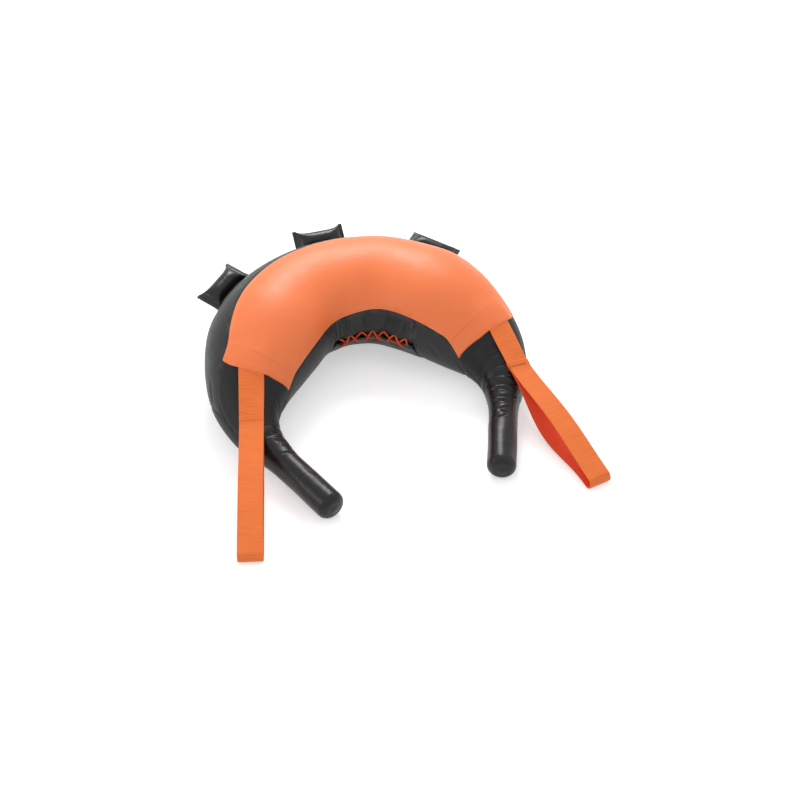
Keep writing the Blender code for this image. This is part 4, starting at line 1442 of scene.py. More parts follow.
@dataclass
class Strap:
    """One webbing strap: the tab from under the hem to its tack, and the loop below it."""

    shape: BagShape
    side: Side
    finishes: Finishes
    width: float = 0.045
    thickness: float = 0.0024
    root_length: float = 0.026
    hem_offset: float = 0.0070
    reach: float = 0.360
    body_gap: float = 0.0014
    loop_body_gap: float = 0.0019
    ply_gap: float = 0.0004
    fold_radius: float = 0.0110
    floor_gap: float = 0.0005
    overlap: float = 0.010

    def __post_init__(self) -> None:
        """Find where the strap leaves the hem, and its tack."""
        side = self.side
        self.tab_length = side.tab_length
        self.loop_length = self.reach - side.tab_length
        self.run = np.array([side.sign * math.sin(side.heading), -math.cos(side.heading), 0.0])
        self.level = np.array([side.sign * math.cos(side.heading), math.sin(side.heading), 0.0])
        edge = self.shape.point(self.shape.panel_end(side.sign, side.strap_angle), side.strap_angle)
        self.start = np.array([edge[0], edge[1], 0.0]) + self.run * self.hem_offset
        ends = self.webbing(np.array([self.tab_length]), np.array([-self.width / 2, 0.0, self.width / 2]))[0]
        self.tack = ends[1]
        self.crosswise = unit(ends[2] - ends[0])

    def webbing(self, along: Array, across: Array) -> Array:
        """Middle of the webbing's thickness, by length past the hem and place across.

        Args:
            along: Lengths past the hem.
            across: Places across the webbing.

        Returns:
            Points, one row a length.
        """
        rows = []
        probes = np.linspace(-self.width / 2, self.width / 2, 9)
        for length in along:
            flatness = min(max(length / self.tab_length, 0.0), 1.0)
            slope = -math.tan(self.side.roll * flatness)
            line = self.start + self.run * length
            below, over = self.shape.over((line + self.level * probes[:, None])[:, :2])
            base = float(np.max((below[:, 2] - slope * probes)[over]))
            level = line + self.level * across[:, None]
            level[:, 2] = base + slope * across + self.loop_body_gap + self.thickness + self.ply_gap / 2
            draped, over = self.shape.over(level[:, :2], self.body_gap + self.thickness / 2)
            draped = np.where(over[:, None], draped, level)
            rows.append(draped * (1 - flatness) + level * flatness)
        return np.stack(rows)

    def columns(self) -> Array:
        """Lay the columns, closer at the webbing's rounded edges.

        Returns:
            Places across the webbing.
        """
        round_off = self.thickness / 2
        edge = self.width / 2 - round_off * (1 - np.sin(np.linspace(math.pi / 2, 0, 5)))
        inside = np.linspace(-self.width / 2 + round_off, self.width / 2 - round_off, 19)[1:-1]
        return np.concatenate([-edge, inside, edge[::-1]])

    def ribbon(self, name: str, middle: Array, lengths: Array,
               inner: Optional[int] = None) -> Piece:
        """Give a sheet of middle points the webbing's thickness, with rounded edges.

        Args:
            name: The piece's name.
            middle: Points in the middle of the webbing, rows by columns by 3.
            lengths: Length along the webbing of each row.
            inner: The side that faces into a loop: 1 along the sheet's normal, 0 against it.

        Returns:
            The piece, without a parent.
        """
        across = self.columns()
        near = np.clip(np.abs(across) - (self.width / 2 - self.thickness / 2), 0, None)
        half = np.sqrt(np.clip((self.thickness / 2) ** 2 - near ** 2, 1e-9, None))
        normal = sheet_normals(middle)
        upper = middle + normal * half[None, :, None]
        lower = middle - normal * half[None, :, None]
        rings = np.concatenate([upper, lower[:, ::-1]], axis=1)
        girth = np.concatenate([across, across[::-1]]) + self.width / 2
        uv = joined(girth[None], lengths[:, None])
        # The inner mark picks out the faces inside the loop, which the webbing paints with bounce light.
        marks = {}
        if inner is not None:
            faced = np.repeat([float(inner), 1.0 - inner], len(across))
            marks["inner"] = np.broadcast_to(faced[None], rings.shape[:2])
        return closed_tube(rings, uv, marks).to_object(name, self.finishes.webbing)

    def build_tab(self) -> Piece:
        """Make the ply from under the hem to just past the tack.

        Returns:
            The tab, drawn from lying on the bag to its level end, without a parent.
        """
        lengths = np.arange(-self.root_length, self.tab_length - 0.0005, 0.002)
        middle = self.webbing(lengths, self.columns())
        name = self.side.name.value
        piece = self.ribbon(f"strap_tab_webbing_{name}", middle, lengths)
        hem = self.webbing(np.array([0.0]), np.array([0.0]))[0, 0]
        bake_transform(piece)
        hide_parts(f"strap_root_{name}", f"strap_tab_{name}")
        return piece

    def loop_profile(self) -> Array:
        """Draw the loop as seen from its edge: upper ply, fold and lower ply.

        Returns:
            Rows of (length, height).
        """
        reach = self.fold_radius + self.thickness / 2
        flat_run = self.loop_length - reach
        root = (self.thickness + self.ply_gap) / 2
        share = np.linspace(0, 1, 140)[:-1]

        def ply(belly: float) -> Array:
            """Height of one ply off the loop's middle."""
            opening = root + (self.fold_radius - root) * (1 - fall(share, 0, 1))
            return opening + belly * np.sin(math.pi * share) ** 2

        lap = np.linspace(-self.overlap, -0.0008, 6)
        raised = self.thickness + self.ply_gap
        settle = fall(flat_run * share, 0.0, 0.008) * (raised - root)
        turn = np.linspace(0, math.pi, 22)
        upper = joined(flat_run * share, ply(self.side.arch) + settle)
        lower = joined(flat_run * share, -ply(self.side.sag) - settle)[::-1]
        fold = joined(flat_run + self.fold_radius * np.sin(turn), self.fold_radius * np.cos(turn))
        lap_upper = joined(lap, raised)
        lap_lower = joined(lap, -raised)[::-1]
        return np.concatenate([lap_upper, upper, fold, lower, lap_lower])

    def over_tab(self, length: Array, across: Array, height: Array) -> Array:
        """Find points over the tab's end.

        Args:
            length: Lengths from the tack.
            across: Places across the webbing.
            height: Heights off the tab's middle.

        Returns:
            Points, one row a length.
        """
        ahead = self.webbing(self.tab_length + length + 0.001, across)
        behind = self.webbing(self.tab_length + length - 0.001, across)
        middle = (ahead + behind) / 2
        forward = unit((ahead - behind).mean(1))
        level = unit(middle[:, -1] - middle[:, 0])
        upward = np.cross(forward, level) * self.side.sign
        return middle + (upward * height[:, None])[:, None]

    def loop_frame(self, length: Array) -> tuple[Array, Array, Array]:
        """Turn the loop from its tack to its level end.

        Args:
            length: Lengths from the tack.

        Returns:
            Directions down the loop, across it and up from it.
        """
        reach = self.fold_radius + self.thickness / 2
        flat_run = self.loop_length - reach
        pitch = math.asin((self.tack[2] - reach - self.floor_gap) / flat_run)
        down = self.run * math.cos(pitch) - np.array([0, 0, math.sin(pitch)])
        share = np.clip(length / self.loop_length, 0, 1)[:, None]
        across = unit(self.crosswise * (1 - share) + self.level * share)
        down = np.broadcast_to(down, across.shape)
        return down, across, np.cross(down, across) * self.side.sign

    def build_loop(self) -> Piece:
        """Make the loop, whose two plies start sewn over the tab's end.

        Returns:
            The loop, turning from the tab's direction to its level end, without a parent.
        """
        profile = self.loop_profile()
        down, across, upward = self.loop_frame(profile[:, 0])
        line = self.tack + down * profile[:, :1] + upward * profile[:, 1:]
        middle = line[:, None] + across[:, None] * self.columns()[None, :, None]
        lap = profile[:, 0] < 0
        middle[lap] = self.over_tab(profile[lap, 0], self.columns(), profile[lap, 1])
        line = middle[:, middle.shape[1] // 2]
        name = self.side.name.value
        piece = self.ribbon(f"strap_loop_webbing_{name}", middle, walked(line), int(self.side.sign < 0))
        start, end = self.tack - down[0] * 0.003, self.tack + down[0] * 0.005
        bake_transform(piece)
        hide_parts(f"strap_loop_{name}")
        return piece

    def tack_lines(self) -> list[Array]:
        """Lay the tack's stitches: two bars across the upper ply.

        Returns:
            Arrays of points, one a bar.
        """
        raised = self.thickness * 1.5 + self.ply_gap - 0.0002
        across = np.linspace(-self.width / 2 + 0.003, self.width / 2 - 0.003, 30)
        return [self.over_tab(np.array([place]), across, np.array([raised]))[0]
                for place in (-0.0085, -0.0025)]

    def build(self, stitches: StitchWork) -> list[Piece]:
        """Make the strap's pieces.

        Args:
            stitches: The stitch maker.

        Returns:
            The pieces.
        """
        tack = stitches.sew(f"strap_tack_{self.side.name.value}", self.tack_lines(),
                            self.finishes.orange_thread, 0.0034, 0.0026, 0.0004)
        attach(tack, f"strap_tab_{self.side.name.value}")
        return [self.build_tab(), self.build_loop(), tack]


@dataclass
class FrontPanel:
    """The orange panel over the front, whose hemmed ends lie over the straps."""

    shape: BagShape
    finishes: Finishes
    straps: Sequence[Strap]
    thickness: float = 0.0018
    layer_gap: float = 0.0005
    hem_length: float = 0.032
    hem_step: float = 0.0004
    hem_blur: float = 0.0015
    end_roll: float = 0.0020
    strap_rise: float = 0.0037
    strap_drape: float = 0.024
    root_drape: float = 0.045

    def lift(self, distance: Array, angle: Array, end: Array) -> Array:
        """Raise the panel's outer face over the cover, the hem and the straps.

        Args:
            distance: Distances along the bag.
            angle: Angles round the section.
            end: Distances to the panel's end.

        Returns:
            Heights over the cover.
        """
        hem = fall(end, self.hem_length - self.hem_blur, self.hem_length + self.hem_blur)
        height = self.layer_gap + self.thickness + self.hem_step * hem
        points = self.shape.point(distance, angle)
        for strap in self.straps:
            offset = points - strap.start
            across = offset @ strap.level
            along = offset @ strap.run
            cover = (fall(np.abs(across), strap.width / 2, strap.width / 2 + self.strap_drape)
                     * fall(-along, strap.root_length + 0.001, strap.root_length + self.root_drape)
                     * (np.sign(distance) == strap.side.sign))
            height = height + self.strap_rise * cover
        return height - self.end_roll * edge_roll(end, self.end_roll)

    def build(self, stitches: StitchWork) -> list[Piece]:
        """Make the panel and its hem stitches.

        Args:
            stitches: The stitch maker.

        Returns:
            The pieces.
        """
        form = self.shape
        relief = Relief(swell=0.0010, seed=40, creases=folds(
            (-0.330, 100, -0.300, 104, 0.0006, 0.0120),
            (0.312, 100, 0.280, 120, 0.0006, 0.0140),
        ))
        panel = Panel("panel_front", ("front_panel",), -form.panel_half_length, form.panel_half_length,
                      form.front_outer, form.front_inner, thickness=self.thickness, fine=0.0028,
                      relief=relief, end_seams=False, lift=self.lift,
                      shift=form.panel_shift).build(form, self.finishes.panel)
        lines = []
        for sign in (-1, 1):
            for inset in (0.0045, 0.0275):
                share = np.linspace(0.04, 0.96, 120)
                spot = form.panel_row(sign, share, inset)
                angle = form.front_angle(spot, share)
                height = self.lift(spot, angle, np.full_like(share, inset))
                lines.append(form.point(spot, angle, -height + 0.0001))
        hem = stitches.sew("hem_stitches", lines, self.finishes.orange_thread, 0.0042, 0.0031, 0.0004)
        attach(hem, "root")
        return [panel, hem]


# ---- grips


@dataclass
class Grip:
    """One arm's glossy skin, from its seam on the neck to the sewn cap on its tip."""

    shape: BagShape
    side: Side
    finishes: Finishes
    left_neck: float = 0.449
    right_neck: float = 0.431
    length: float = 0.192
    floor_gap: float = 0.0006
    row_step: float = 0.0016
    sides: int = 108
    fullness: float = 0.0012
    corner: float = 0.0160
    corner_lead: float = 0.0100
    crease_radius: float = 0.031
    skin_floor: float = 0.0004
    cap_floor: float = 0.0003
    neck_seam: float = 0.0030
    neck_steps: tuple[float, ...] = (0.0, 0.0008, 0.0018, 0.0030, 0.0042)
    tip_steps: tuple[float, ...] = (0.0062, 0.0050, 0.0040, 0.0032, 0.0024, 0.0016, 0.0009, 0.0003)
    welt_steps: tuple[float, ...] = (0.0020, 0.0010, 0.0003)
    welt_tucks: tuple[float, ...] = (0.0016, 0.0009, 0.0002)
    dome: float = 0.0020
    dome_rows: int = 12

    creases: dict[SideName, tuple[Crease, ...]] = field(default_factory=lambda: {
        SideName.LEFT: folds(
            (0.464, 104, 0.468, 200, 0.0052, 0.0044, 0.8),
            (0.458, 50, 0.474, 122, 0.0040, 0.0042, 0.8),
            (0.484, 100, 0.500, 168, 0.0036, 0.0036, 0.9),
            (0.500, 112, 0.512, 190, 0.0030, 0.0034, 0.9),
            (0.516, 80, 0.524, 140, 0.0022, 0.0034, 0.9),
            (0.474, 150, 0.484, 214, 0.0030, 0.0042, 0.5),
            (0.462, -20, 0.470, 40, 0.0024, 0.0044, 0.5),
            (0.566, 100, 0.590, 112, 0.0006, 0.0060, 0.5),
        ),
        SideName.RIGHT: folds(
            (0.442, 36, 0.446, 104, 0.0034, 0.0034, 0.8),
            (0.452, 58, 0.448, 132, 0.0030, 0.0032, 0.8),
            (0.460, 30, 0.468, 112, 0.0036, 0.0032, 0.9),
            (0.478, 56, 0.474, 142, 0.0036, 0.0032, 0.9),
            (0.490, 40, 0.496, 110, 0.0034, 0.0032, 0.9),
            (0.508, 64, 0.502, 136, 0.0032, 0.0030, 0.9),
            (0.518, 62, 0.526, 112, 0.0030, 0.0030, 0.9),
            (0.530, 108, 0.538, 70, 0.0028, 0.0030, 0.9),
            (0.542, 76, 0.550, 122, 0.0024, 0.0030, 0.9),
            (0.450, 150, 0.456, 206, 0.0022, 0.0042, 0.5),
            (0.478, -30, 0.486, 30, 0.0024, 0.0042, 0.5),
        ),
    })

    def axis(self) -> tuple[Array, Array, Array, Array]:
        """Find the grip's own axis.

        Returns:
            Its root, and its directions along, sideways and up.
        """
        form, sign = self.shape, self.side.sign
        spot, along, outward = form.place(sign * form.body_half_length)
        root = spot + np.array(form.apex)
        root[2] = form.section(sign * form.body_half_length)[2] + form.apex[2]
        droop = math.asin((root[2] - form.apex[2] - form.grip_radius - self.floor_gap) / self.length)
        direction = along * sign * math.cos(droop) - np.array([0, 0, math.sin(droop)])
        return root, direction, outward, np.cross(direction, outward) * sign

    def rings(self, along: Array, swell: Array) -> Array:
        """Rings of the skin at distances along the bag, taken past the body's end down the grip.

        Args:
            along: Distances from the apex, all positive.
            swell: How much each ring's radius stands out.

        Returns:
            Points, one ring a row.
        """
        form, sign = self.shape, self.side.sign
        angle = around(self.sides)
        half_width, half_height, middle = form.section(along)
        root, direction, sideways, up = self.axis()
        on_body = along < form.body_half_length
        spot, _, outward = form.place(sign * np.minimum(along, form.body_half_length))
        centre = spot + np.array(form.apex)
        centre[:, 2] += np.where(on_body, middle, 0.0)
        past = np.maximum(along - form.body_half_length, 0)
        centre = np.where(on_body[:, None], centre, root + direction * past[:, None])
        out = np.where(on_body[:, None], outward, sideways)
        rise = np.where(on_body[:, None], np.array([0.0, 0.0, 1.0]), up)
        grid_along, grid_angle = np.broadcast_arrays(along[:, None], angle[None])
        relief = Relief(self.creases[self.side.name], swell=0.0010, seed=50 + sign)
        radius = np.full_like(grid_along, self.crease_radius)
        dip = relief.dip(grid_along, grid_angle, radius) - swell[:, None]
        wide = (half_width[:, None] - dip) * np.cos(angle)[None]
        tall = (half_height[:, None] - dip) * np.sin(angle)[None]
        points = centre[:, None] + out[:, None] * wide[..., None] + rise[:, None] * tall[..., None]
        points[..., 2] = np.maximum(points[..., 2], self.skin_floor)
        return points

    def build(self) -> list[Piece]:
        """Make the skin and the cap.

        Returns:
            The pieces.
        """
        form, name = self.shape, self.side.name.value
        end = form.body_half_length + self.length
        neck = self.left_neck if self.side.name is SideName.LEFT else self.right_neck
        along = np.concatenate([neck + np.array(self.neck_steps),
                                np.arange(neck + 0.0056, end - 0.007, self.row_step),
                                end - np.array(self.tip_steps)])
        seam = along - (neck + self.neck_seam)
        swell = np.where(seam < 0, seam * 1.4, 0.0) - 0.0003 * bell(seam, 0.004)
        swell = swell + self.fullness * (1 - fall(along, 0.490, 0.560))
        lead = np.clip(self.corner_lead - (end - along), 0, None)
        swell = swell - (self.corner - np.sqrt(self.corner ** 2 - lead ** 2))
        swell = swell - 0.0003 * bell(end - along, 0.0012)
        rings = self.rings(along, swell)
        # Near the neck seam and the tip: the lighter seam colour, rubbing and a painted highlight.
        rubbed_and_highlight_mask = fade(np.minimum(np.abs(seam), end - along), 0.010)
        rubbed_and_highlight_mask = np.broadcast_to(rubbed_and_highlight_mask[:, None], rings.shape[:2])
        skin = closed_tube(rings, marks={"seam": rubbed_and_highlight_mask}).to_object(f"grip_skin_{name}", self.finishes.grip)
        root, direction = self.axis()[:2]
        root - direction * 0.010
        root + direction * 0.040
        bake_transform(skin)
        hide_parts(f"grip_sleeve_{name}", f"grip_core_{name}")
        return [skin, self.build_cap()]

    def build_cap(self) -> Piece:
        """Make the sewn cap: a welt at the seam, rounded corners and a slightly domed face.

        Returns:
            The cap, riding on the grip.
        """
        name = self.side.name.value
        root, direction, sideways, up = self.axis()
        radius = self.shape.grip_radius + self.fullness
        corner = self.corner
        lead = math.asin(self.corner_lead / corner)
        turn = np.linspace(lead + 0.02, math.pi / 2, 14)
        first = radius - corner * (1 - math.cos(lead))
        out = np.concatenate([first - np.array(self.welt_steps),
                              radius - corner * (1 - np.cos(turn)),
                              np.linspace(radius - corner - 0.0008, 0.0012, self.dome_rows)])
        flat = self.length + 0.0060
        reach = np.concatenate([self.length - np.array(self.welt_tucks),
                                flat - corner + corner * np.sin(turn),
                                flat + self.dome * (1 - np.square(np.linspace(1.0, 0.05, self.dome_rows)))])
        angle = around(self.sides)
        pucker = (np.sin(angle * 17) * 0.5 + np.sin(angle * 29 + 1.0) * 0.3)[None]
        held = bell(out - radius, 0.007)[:, None]
        rings = (root + direction * (reach[:, None] + 0.0004 * pucker * held)[..., None]
                 + (sideways * np.cos(angle)[None, :, None] + up * np.sin(angle)[None, :, None])
                 * (out[:, None] - 0.00035 * pucker * held)[..., None])
        rings[..., 2] = np.maximum(rings[..., 2], self.cap_floor)
        # Round the cap's rim: the lighter seam colour, rubbing and a painted highlight.
        rubbed_and_highlight_mask = np.broadcast_to(bell(out - radius, 0.004)[:, None], rings.shape[:2])
        cap = closed_tube(rings, marks={"seam": rubbed_and_highlight_mask}).to_object(f"grip_end_{name}", self.finishes.grip)
        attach(cap, f"grip_{name}")
        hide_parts(f"grip_cap_{name}")
        return cap


# ---- padded handles


@dataclass(frozen=True)
class HandlePose:
    """Where a padded handle sits: its place along the bag, its lift and its tilt."""

    name: str
    distance: float
    lift: float
    tilt: float


@dataclass(frozen=True)
class Seat:
    """A handle's own frame on the bag: along the bag, out from it and up."""

    turn: Array
    origin: Array

    def placed(self, points: Array) -> Array:
        """Points of the handle's frame, in the bag's frame."""
        return points @ self.turn.T + self.origin

    def slab(self, base: Array, thick: Array) -> Solid:
        """A solid about a sheet of points, as thick on both sides as given."""
        lift = np.array([0.0, 0.0, 1.0]) * thick
        return shell(self.placed(base + lift), self.placed(base - lift))


HANDLES = (
    HandlePose("left", -0.143, math.radians(14), math.radians(-10)),
    HandlePose("middle", 0.0, math.radians(40), 0.0),
    HandlePose("right", 0.142, math.radians(3), math.radians(10)),
)


@dataclass
class PaddedHandle:
    """A vinyl tube over foam, pinched flat at both ends and sewn to the outer gusset."""

    shape: BagShape
    finishes: Finishes
    half_length: float = 0.053
    tube_radius: float = 0.0185
    tube_offset: float = 0.0020
    flange_length: float = 0.007
    flange_half_thickness: float = 0.0016
    pinch_length: float = 0.030
    fold_angle: float = math.radians(60)
    base_height: float = 0.020
    stand_off: float = 0.0050
    rows: int = 67
    sides: int = 72
    pressure: float = 4.0
    frames: int = 20
    cap: float = 0.006
    allowance: float = 0.0065

    def section(self, place: Array, angle: Array) -> Array:
        """Shape the sleeve: a tube whose girth stays as it flattens.

        Args:
            place: Places along the handle.
            angle: Angles round it.

        Returns:
            Points in the handle's frame.
        """
        radius = self.tube_radius
        flat_end = self.half_length - self.flange_length
        share = np.clip((flat_end - np.abs(place)) / self.pinch_length, 0, 1)
        half_thick = np.maximum(radius * np.sqrt(1 - (1 - share) ** 2), self.flange_half_thickness)
        half_flat = math.pi / 2 * (radius - half_thick)
        middle = math.pi / 2 * radius + self.tube_offset * half_thick / radius
        along = np.clip(np.cos(angle) / math.cos(self.fold_angle), -1, 1)
        out = middle + half_flat * along + half_thick * np.cos(angle)
        return joined(place, out, half_thick * np.sin(angle))

    def seat(self, pose: HandlePose) -> Seat:
        """Seat the handle's own frame midway between its sewn ends.

        Args:
            pose: The handle's pose.

        Returns:
            The seat.
        """
        form = self.shape
        probe = form.line_step
        run = form.point(np.array([pose.distance - probe, pose.distance + probe]), 0.0)
        reach = self.half_length * 2 * probe / float(np.linalg.norm(run[1] - run[0]))
        base = float(form.section(pose.distance)[2]) + self.base_height
        ends = []
        for distance in (pose.distance - reach, pose.distance + reach):
            _, half_height, middle = form.section(distance)
            ends.append(form.point(distance, math.asin((base - middle) / half_height), -self.stand_off))
        chord = Vector(ends[1] - ends[0]).normalized()
        outward = Vector((-chord.y, chord.x, 0)).normalized()
        turn = Matrix((chord, outward, chord.cross(outward))).transposed().to_quaternion()
        turn = turn @ Euler((0, pose.tilt, 0)).to_quaternion() @ Euler((pose.lift, 0, 0)).to_quaternion()
        return Seat(np.array(turn.to_matrix()), np.array(Vector((ends[0] + ends[1]) / 2)))

    def grid(self) -> tuple[Array, Array]:
        """Places along the handle and angles round it."""
        place = np.linspace(-self.half_length, self.half_length, self.rows)
        return place, around(self.sides)

    def inflate(self) -> Array:
        """Blow the sleeve up from its flat-ended start, so that its pinched ends wrinkle.

        Returns:
            Rows of points of the inflated sleeve, in the handle's frame.
        """
        place, angle = self.grid()
        start = self.section(place[:, None], angle[None])
        mesh = bpy.data.meshes.new("handle_blank")
        faces = grid_quads(self.rows, self.sides, True)
        mesh.from_pydata(start.reshape(-1, 3).tolist(), [], faces.tolist())
        blank = link_object("handle_blank", mesh)
        blank.shape_key_add(name="start")
        cut = blank.shape_key_add(name="cut")
        middle = math.pi / 2 * self.tube_radius + self.tube_offset
        radius = self.tube_radius * 1.03
        rest = joined(place[:, None] * 1.06, middle + radius * np.cos(angle)[None],
                      radius * np.sin(angle)[None])
        cut.data.foreach_set("co", rest.astype(np.float32).ravel())
        cut.value = 0.0
        held = blank.vertex_groups.new(name="held")
        flat_rows = np.abs(place) > self.half_length - self.flange_length + 0.0004
        held.add([int(number) for number in np.flatnonzero(np.repeat(flat_rows, self.sides))], 1.0, "REPLACE")
        cloth = blank.modifiers.new("cloth", "CLOTH")
        vinyl = {"vertex_group_mass": "held", "rest_shape_key": cut, "quality": 12, "mass": 0.25,
                 "tension_stiffness": 60, "compression_stiffness": 60, "shear_stiffness": 20,
                 "bending_stiffness": 0.6, "air_damping": 4, "use_pressure": True,
                 "uniform_pressure_force": self.pressure}
        for key, value in vinyl.items():
            setattr(cloth.settings, key, value)
        cloth.settings.effector_weights.gravity = 0
        cloth.collision_settings.use_self_collision = False
        cloth.point_cache.frame_start = 1
        cloth.point_cache.frame_end = self.frames
        scene = bpy.context.scene
        for step in range(1, self.frames + 1):
            scene.frame_set(step)
        ready = blank.evaluated_get(bpy.context.evaluated_depsgraph_get())
        done = np.zeros(start.size, np.float32)
        ready.data.vertices.foreach_get("co", done)
        scene.frame_set(1)
        bpy.data.objects.remove(blank, do_unlink=True)
        move = done.reshape(start.shape) - start
        size = np.linalg.norm(move, axis=-1, keepdims=True)
        return start + move * np.minimum(1.0, self.cap / np.maximum(size, 1e-9))

    def build(self, stitches: StitchWork) -> list[Piece]:
        """Make the three handles with their sewn tabs.

        Args:
            stitches: The stitch maker.

        Returns:
            The pieces.
        """
        rings = self.inflate()
        place, _ = self.grid()
        # Towards the pinched ends: the lighter seam colour, rubbing and a painted highlight.
        ends = fade(self.half_length - np.abs(place), 0.012)
        rubbed_and_highlight_mask = np.broadcast_to(ends[:, None], rings.shape[:2])
        made = []
        for pose in HANDLES:
            seat = self.seat(pose)
            local = rings * np.array([-1.0, 1.0, 1.0]) if pose.name == "right" else rings
            tube = closed_tube(seat.placed(local), marks={"seam": rubbed_and_highlight_mask}).to_object(
                f"handle_pad_{pose.name}", self.finishes.handle)
            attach(tube, f"handle_{pose.name}")
            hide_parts(f"handle_sleeve_{pose.name}", f"handle_core_{pose.name}")
            made += [tube, self.build_allowance(pose, seat), *self.build_tabs(pose, seat, stitches)]
        return made

    def build_allowance(self, pose: HandlePose, seat: Seat) -> Piece:
        """Make the sewn allowance that runs along the tube on the bag's side.

        Args:
            pose: The handle's pose.
            seat: Its seat on the bag.

        Returns:
            The allowance, riding on the handle.
        """
        place = np.linspace(-self.half_length + 0.004, self.half_length - 0.004, 61)
        inner = self.section(place, math.pi)[:, 1]
        share = np.linspace(0, 1, 9)
        sewn_edge = np.maximum(inner[:, None] - self.allowance, 0.0006)
        out = (inner[:, None] + 0.0012) * share + sewn_edge * (1 - share)
        thick = 0.0011 * np.sqrt(np.clip(1 - (1 - np.clip(share / 0.25, 0, 1)) ** 2, 0.04, 1))
        wave = 0.0004 * np.sin(place * 190)[:, None] * (1 - share)
        strip = seat.slab(joined(place[:, None], out, wave), thick[None, :, None])
        piece = strip.to_object(f"handle_allowance_{pose.name}", self.finishes.handle)
        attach(piece, f"handle_{pose.name}")
        return piece

    def build_tabs(self, pose: HandlePose, seat: Seat, stitches: StitchWork) -> list[Piece]:
        """Make the two vinyl tabs that sew a handle's ends to the gusset.

        Args:
            pose: The handle's pose.
            seat: Its seat on the bag.
            stitches: The stitch maker.

        Returns:
            The tabs and their stitches.
        """
        made = []
        lines = []
        for letter, sign in (("a", -1), ("b", 1)):
            lengths = np.linspace(-0.0085, 0.0130, 24)
            wide = np.linspace(self.half_length - 0.0130, self.half_length + 0.0004, 12) * sign
            thick = np.where(lengths > 0.001, self.flange_half_thickness + 0.0007, 0.0018)
            thick = thick * np.sqrt(np.clip(1 - np.clip((lengths - 0.0115) / 0.0016, 0, 1) ** 2, 0.02, 1))
            slab = seat.slab(joined(wide[None], lengths[:, None], 0.0), thick[:, None, None])
            piece = slab.to_object(f"handle_tab_{pose.name}_{letter}", self.finishes.handle)
            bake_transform(piece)
            made.append(piece)
            row = np.linspace(wide[1], wide[-2], 12)
            lines.append(seat.placed(joined(row, 0.0095, self.flange_half_thickness + 0.0009)))
        sewn = stitches.sew(f"handle_stitches_{pose.name}", lines, self.finishes.dark_thread,
                            0.0030, 0.0022, 0.0004)
        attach(sewn, f"handle_{pose.name}")
        return [*made, sewn]


# ---- studio


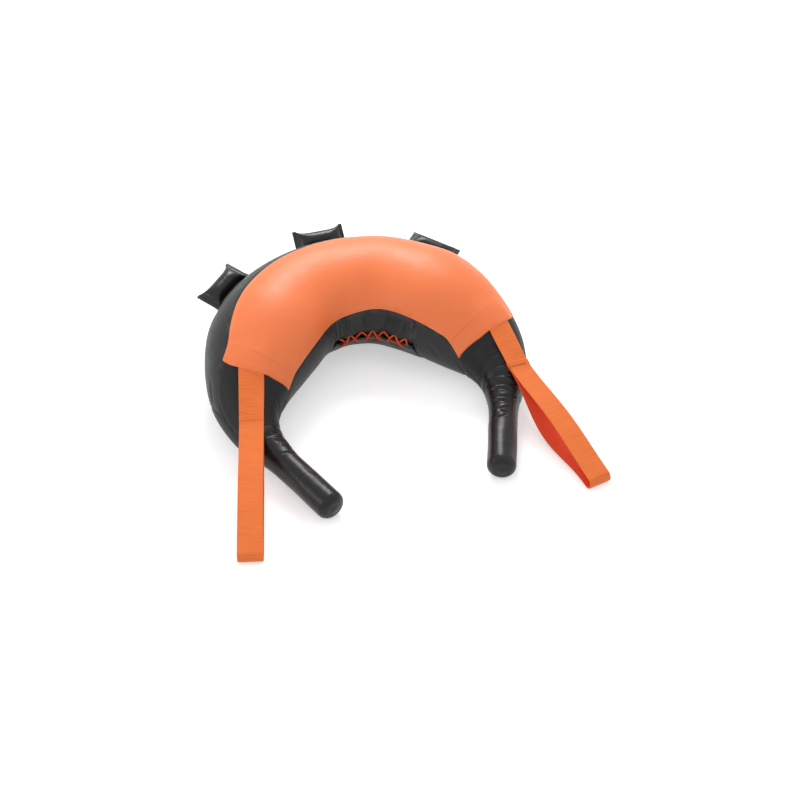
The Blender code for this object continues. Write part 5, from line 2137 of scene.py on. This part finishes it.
@dataclass
class Studio:
    """A pale floor, soft lamps and the camera."""

    target: tuple[float, float, float] = (0.02443, -0.11434, 0.080)
    back: tuple[float, float, float] = (-0.2329, -0.7155, 0.6586)
    distance: float = 2.6
    lens: float = 62.57
    sensor: float = 36.0
    clip_end: float = 60.0
    lamp_target: tuple[float, float, float] = (0.0, 0.02, 0.08)
    room_light: float = 0.79
    floor_half_size: float = 30.0
    floor_glow: float = 0.45

    def lamp(self, name: str, direction: Sequence[float], distance: float, size: float, power: float) -> None:
        """Hang one square softbox.

        Args:
            name: The lamp's name.
            direction: From the bag towards the lamp.
            distance: How far away it hangs.
            size: Its side.
            power: Its power in watts.
        """
        data = bpy.data.lights.new(name, "AREA")
        data.shape = "SQUARE"
        data.size = size
        data.energy = power
        lamp = link_object(name, data)
        toward = Vector(direction).normalized()
        lamp.location = Vector(self.lamp_target) + toward * distance
        lamp.rotation_euler = (-toward).to_track_quat("-Z", "Y").to_euler()

    def world(self) -> None:
        """Light the room evenly, and show white behind the bag and in its gloss."""
        world = bpy.data.worlds.new("studio")
        bpy.context.scene.world = world
        world.use_nodes = True
        board = Board(world.node_tree)
        path = board.node("ShaderNodeLightPath")
        seen = path["Is Camera Ray"].maximum(path["Is Glossy Ray"].maximum(path["Is Transmission Ray"]))
        strength = board.node("ShaderNodeMapRange", {},
                              {"Value": seen, "To Min": self.room_light, "To Max": 1.0})
        sky = world.node_tree.nodes["Background"]
        board.plug(sky.inputs["Color"], (1, 1, 1, 1))
        board.plug(sky.inputs["Strength"], strength)

    def floor(self) -> None:
        """Lay a wide pale floor that shows white and keeps the bag's shadow."""
        mesh = bpy.data.meshes.new("floor")
        half = self.floor_half_size
        mesh.from_pydata([(-half, -half, 0), (half, -half, 0), (half, half, 0), (-half, half, 0)], [],
                         [(0, 1, 2, 3)])
        bench = Bench("floor_paper")
        path = bench.node("ShaderNodeLightPath")
        white = path["Is Camera Ray"] + path["Is Glossy Ray"] + path["Is Transmission Ray"]
        tooth = bench.noise(bench.place(), 90.0, 3.0)
        bench.set(Base_Color=(0.86, 0.86, 0.86, 1), Roughness=(tooth - 0.5) * 0.04 + 0.9,
                  Specular_IOR_Level=0.1, Emission_Color=(1, 1, 1, 1),
                  Emission_Strength=white * self.floor_glow)
        mesh.materials.append(bench.material)
        link_object("floor", mesh)

    def camera(self) -> None:
        """Stand the camera at the photograph's viewing angle."""
        data = bpy.data.cameras.new("camera")
        data.lens = self.lens
        data.sensor_width = self.sensor
        data.clip_end = self.clip_end
        camera = link_object("camera", data)
        back = Vector(self.back).normalized()
        camera.location = Vector(self.target) + back * self.distance
        camera.rotation_euler = (-back).to_track_quat("-Z", "Y").to_euler()
        bpy.context.scene.camera = camera

    def build(self) -> None:
        """Set up the whole studio."""
        self.world()
        self.floor()
        self.lamp("key", (0.20, 0.70, 0.72), 2.2, 0.8, 25.0)
        self.lamp("left_strip", (-0.90, -0.05, 0.42), 2.4, 0.6, 6.0)
        self.camera()
        bpy.context.scene.view_settings.view_transform = "Standard"


# ---- assembly


SLOTS = {
    "cover_vinyl": "front_vinyl",
    "gusset_vinyl": "gusset_vinyl",
    "panel_vinyl": "panel_vinyl",
    "grip_vinyl": "grip_vinyl",
    "handle_vinyl": "handle_vinyl",
    "strap_webbing": "webbing",
    "lace_cord": "lace_cord",
    "dark_thread": "gusset_vinyl",
    "orange_thread": "webbing",
}


def name_slots(pieces: Sequence[Piece]) -> None:
    """Look up the record's material slot of each piece's finish, without keeping it.

    Args:
        pieces: The pieces that this file makes.
    """
    for piece in pieces:
        finish = next(material for material in piece.data.materials if material is not None)
        SLOTS[finish.name.split(".")[0]]


def dress_inner_nodes(finishes: Finishes) -> None:
    """Give the sand bags, which stay CAD nodes, their cloth.

    Args:
        finishes: The bag's finishes.
    """
    for name, node in frame["nodes"].items():
        if name.startswith("sand_filler"):
            node.data.materials.clear()
            node.data.materials.append(finishes.sand_cloth)


def main() -> None:
    """Build every piece of the bag and the studio round it."""
    logging.basicConfig(level=logging.INFO, format="%(name)s: %(message)s")
    shape, finishes, stitches = BagShape(), Finishes(), StitchWork()
    covers = Covers(shape, finishes)
    made = covers.build()
    seams = stitches.sew("seam_stitches", covers.seam_lines(), finishes.dark_thread)
    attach(seams, "root")
    made.append(seams)
    made += LacedSlit(shape, finishes).build()
    straps = [Strap(shape, side, finishes) for side in SIDES]
    for strap in straps:
        made += strap.build(stitches)
    made += FrontPanel(shape, finishes, straps).build(stitches)
    for side in SIDES:
        made += Grip(shape, side, finishes).build()
    made += PaddedHandle(shape, finishes).build(stitches)
    dress_inner_nodes(finishes)
    name_slots(made)
    for piece in made:
        LOG.info("%s: %d faces", piece.name, len(piece.data.polygons))
    Studio().build()


if __name__ == "__main__":
    main()
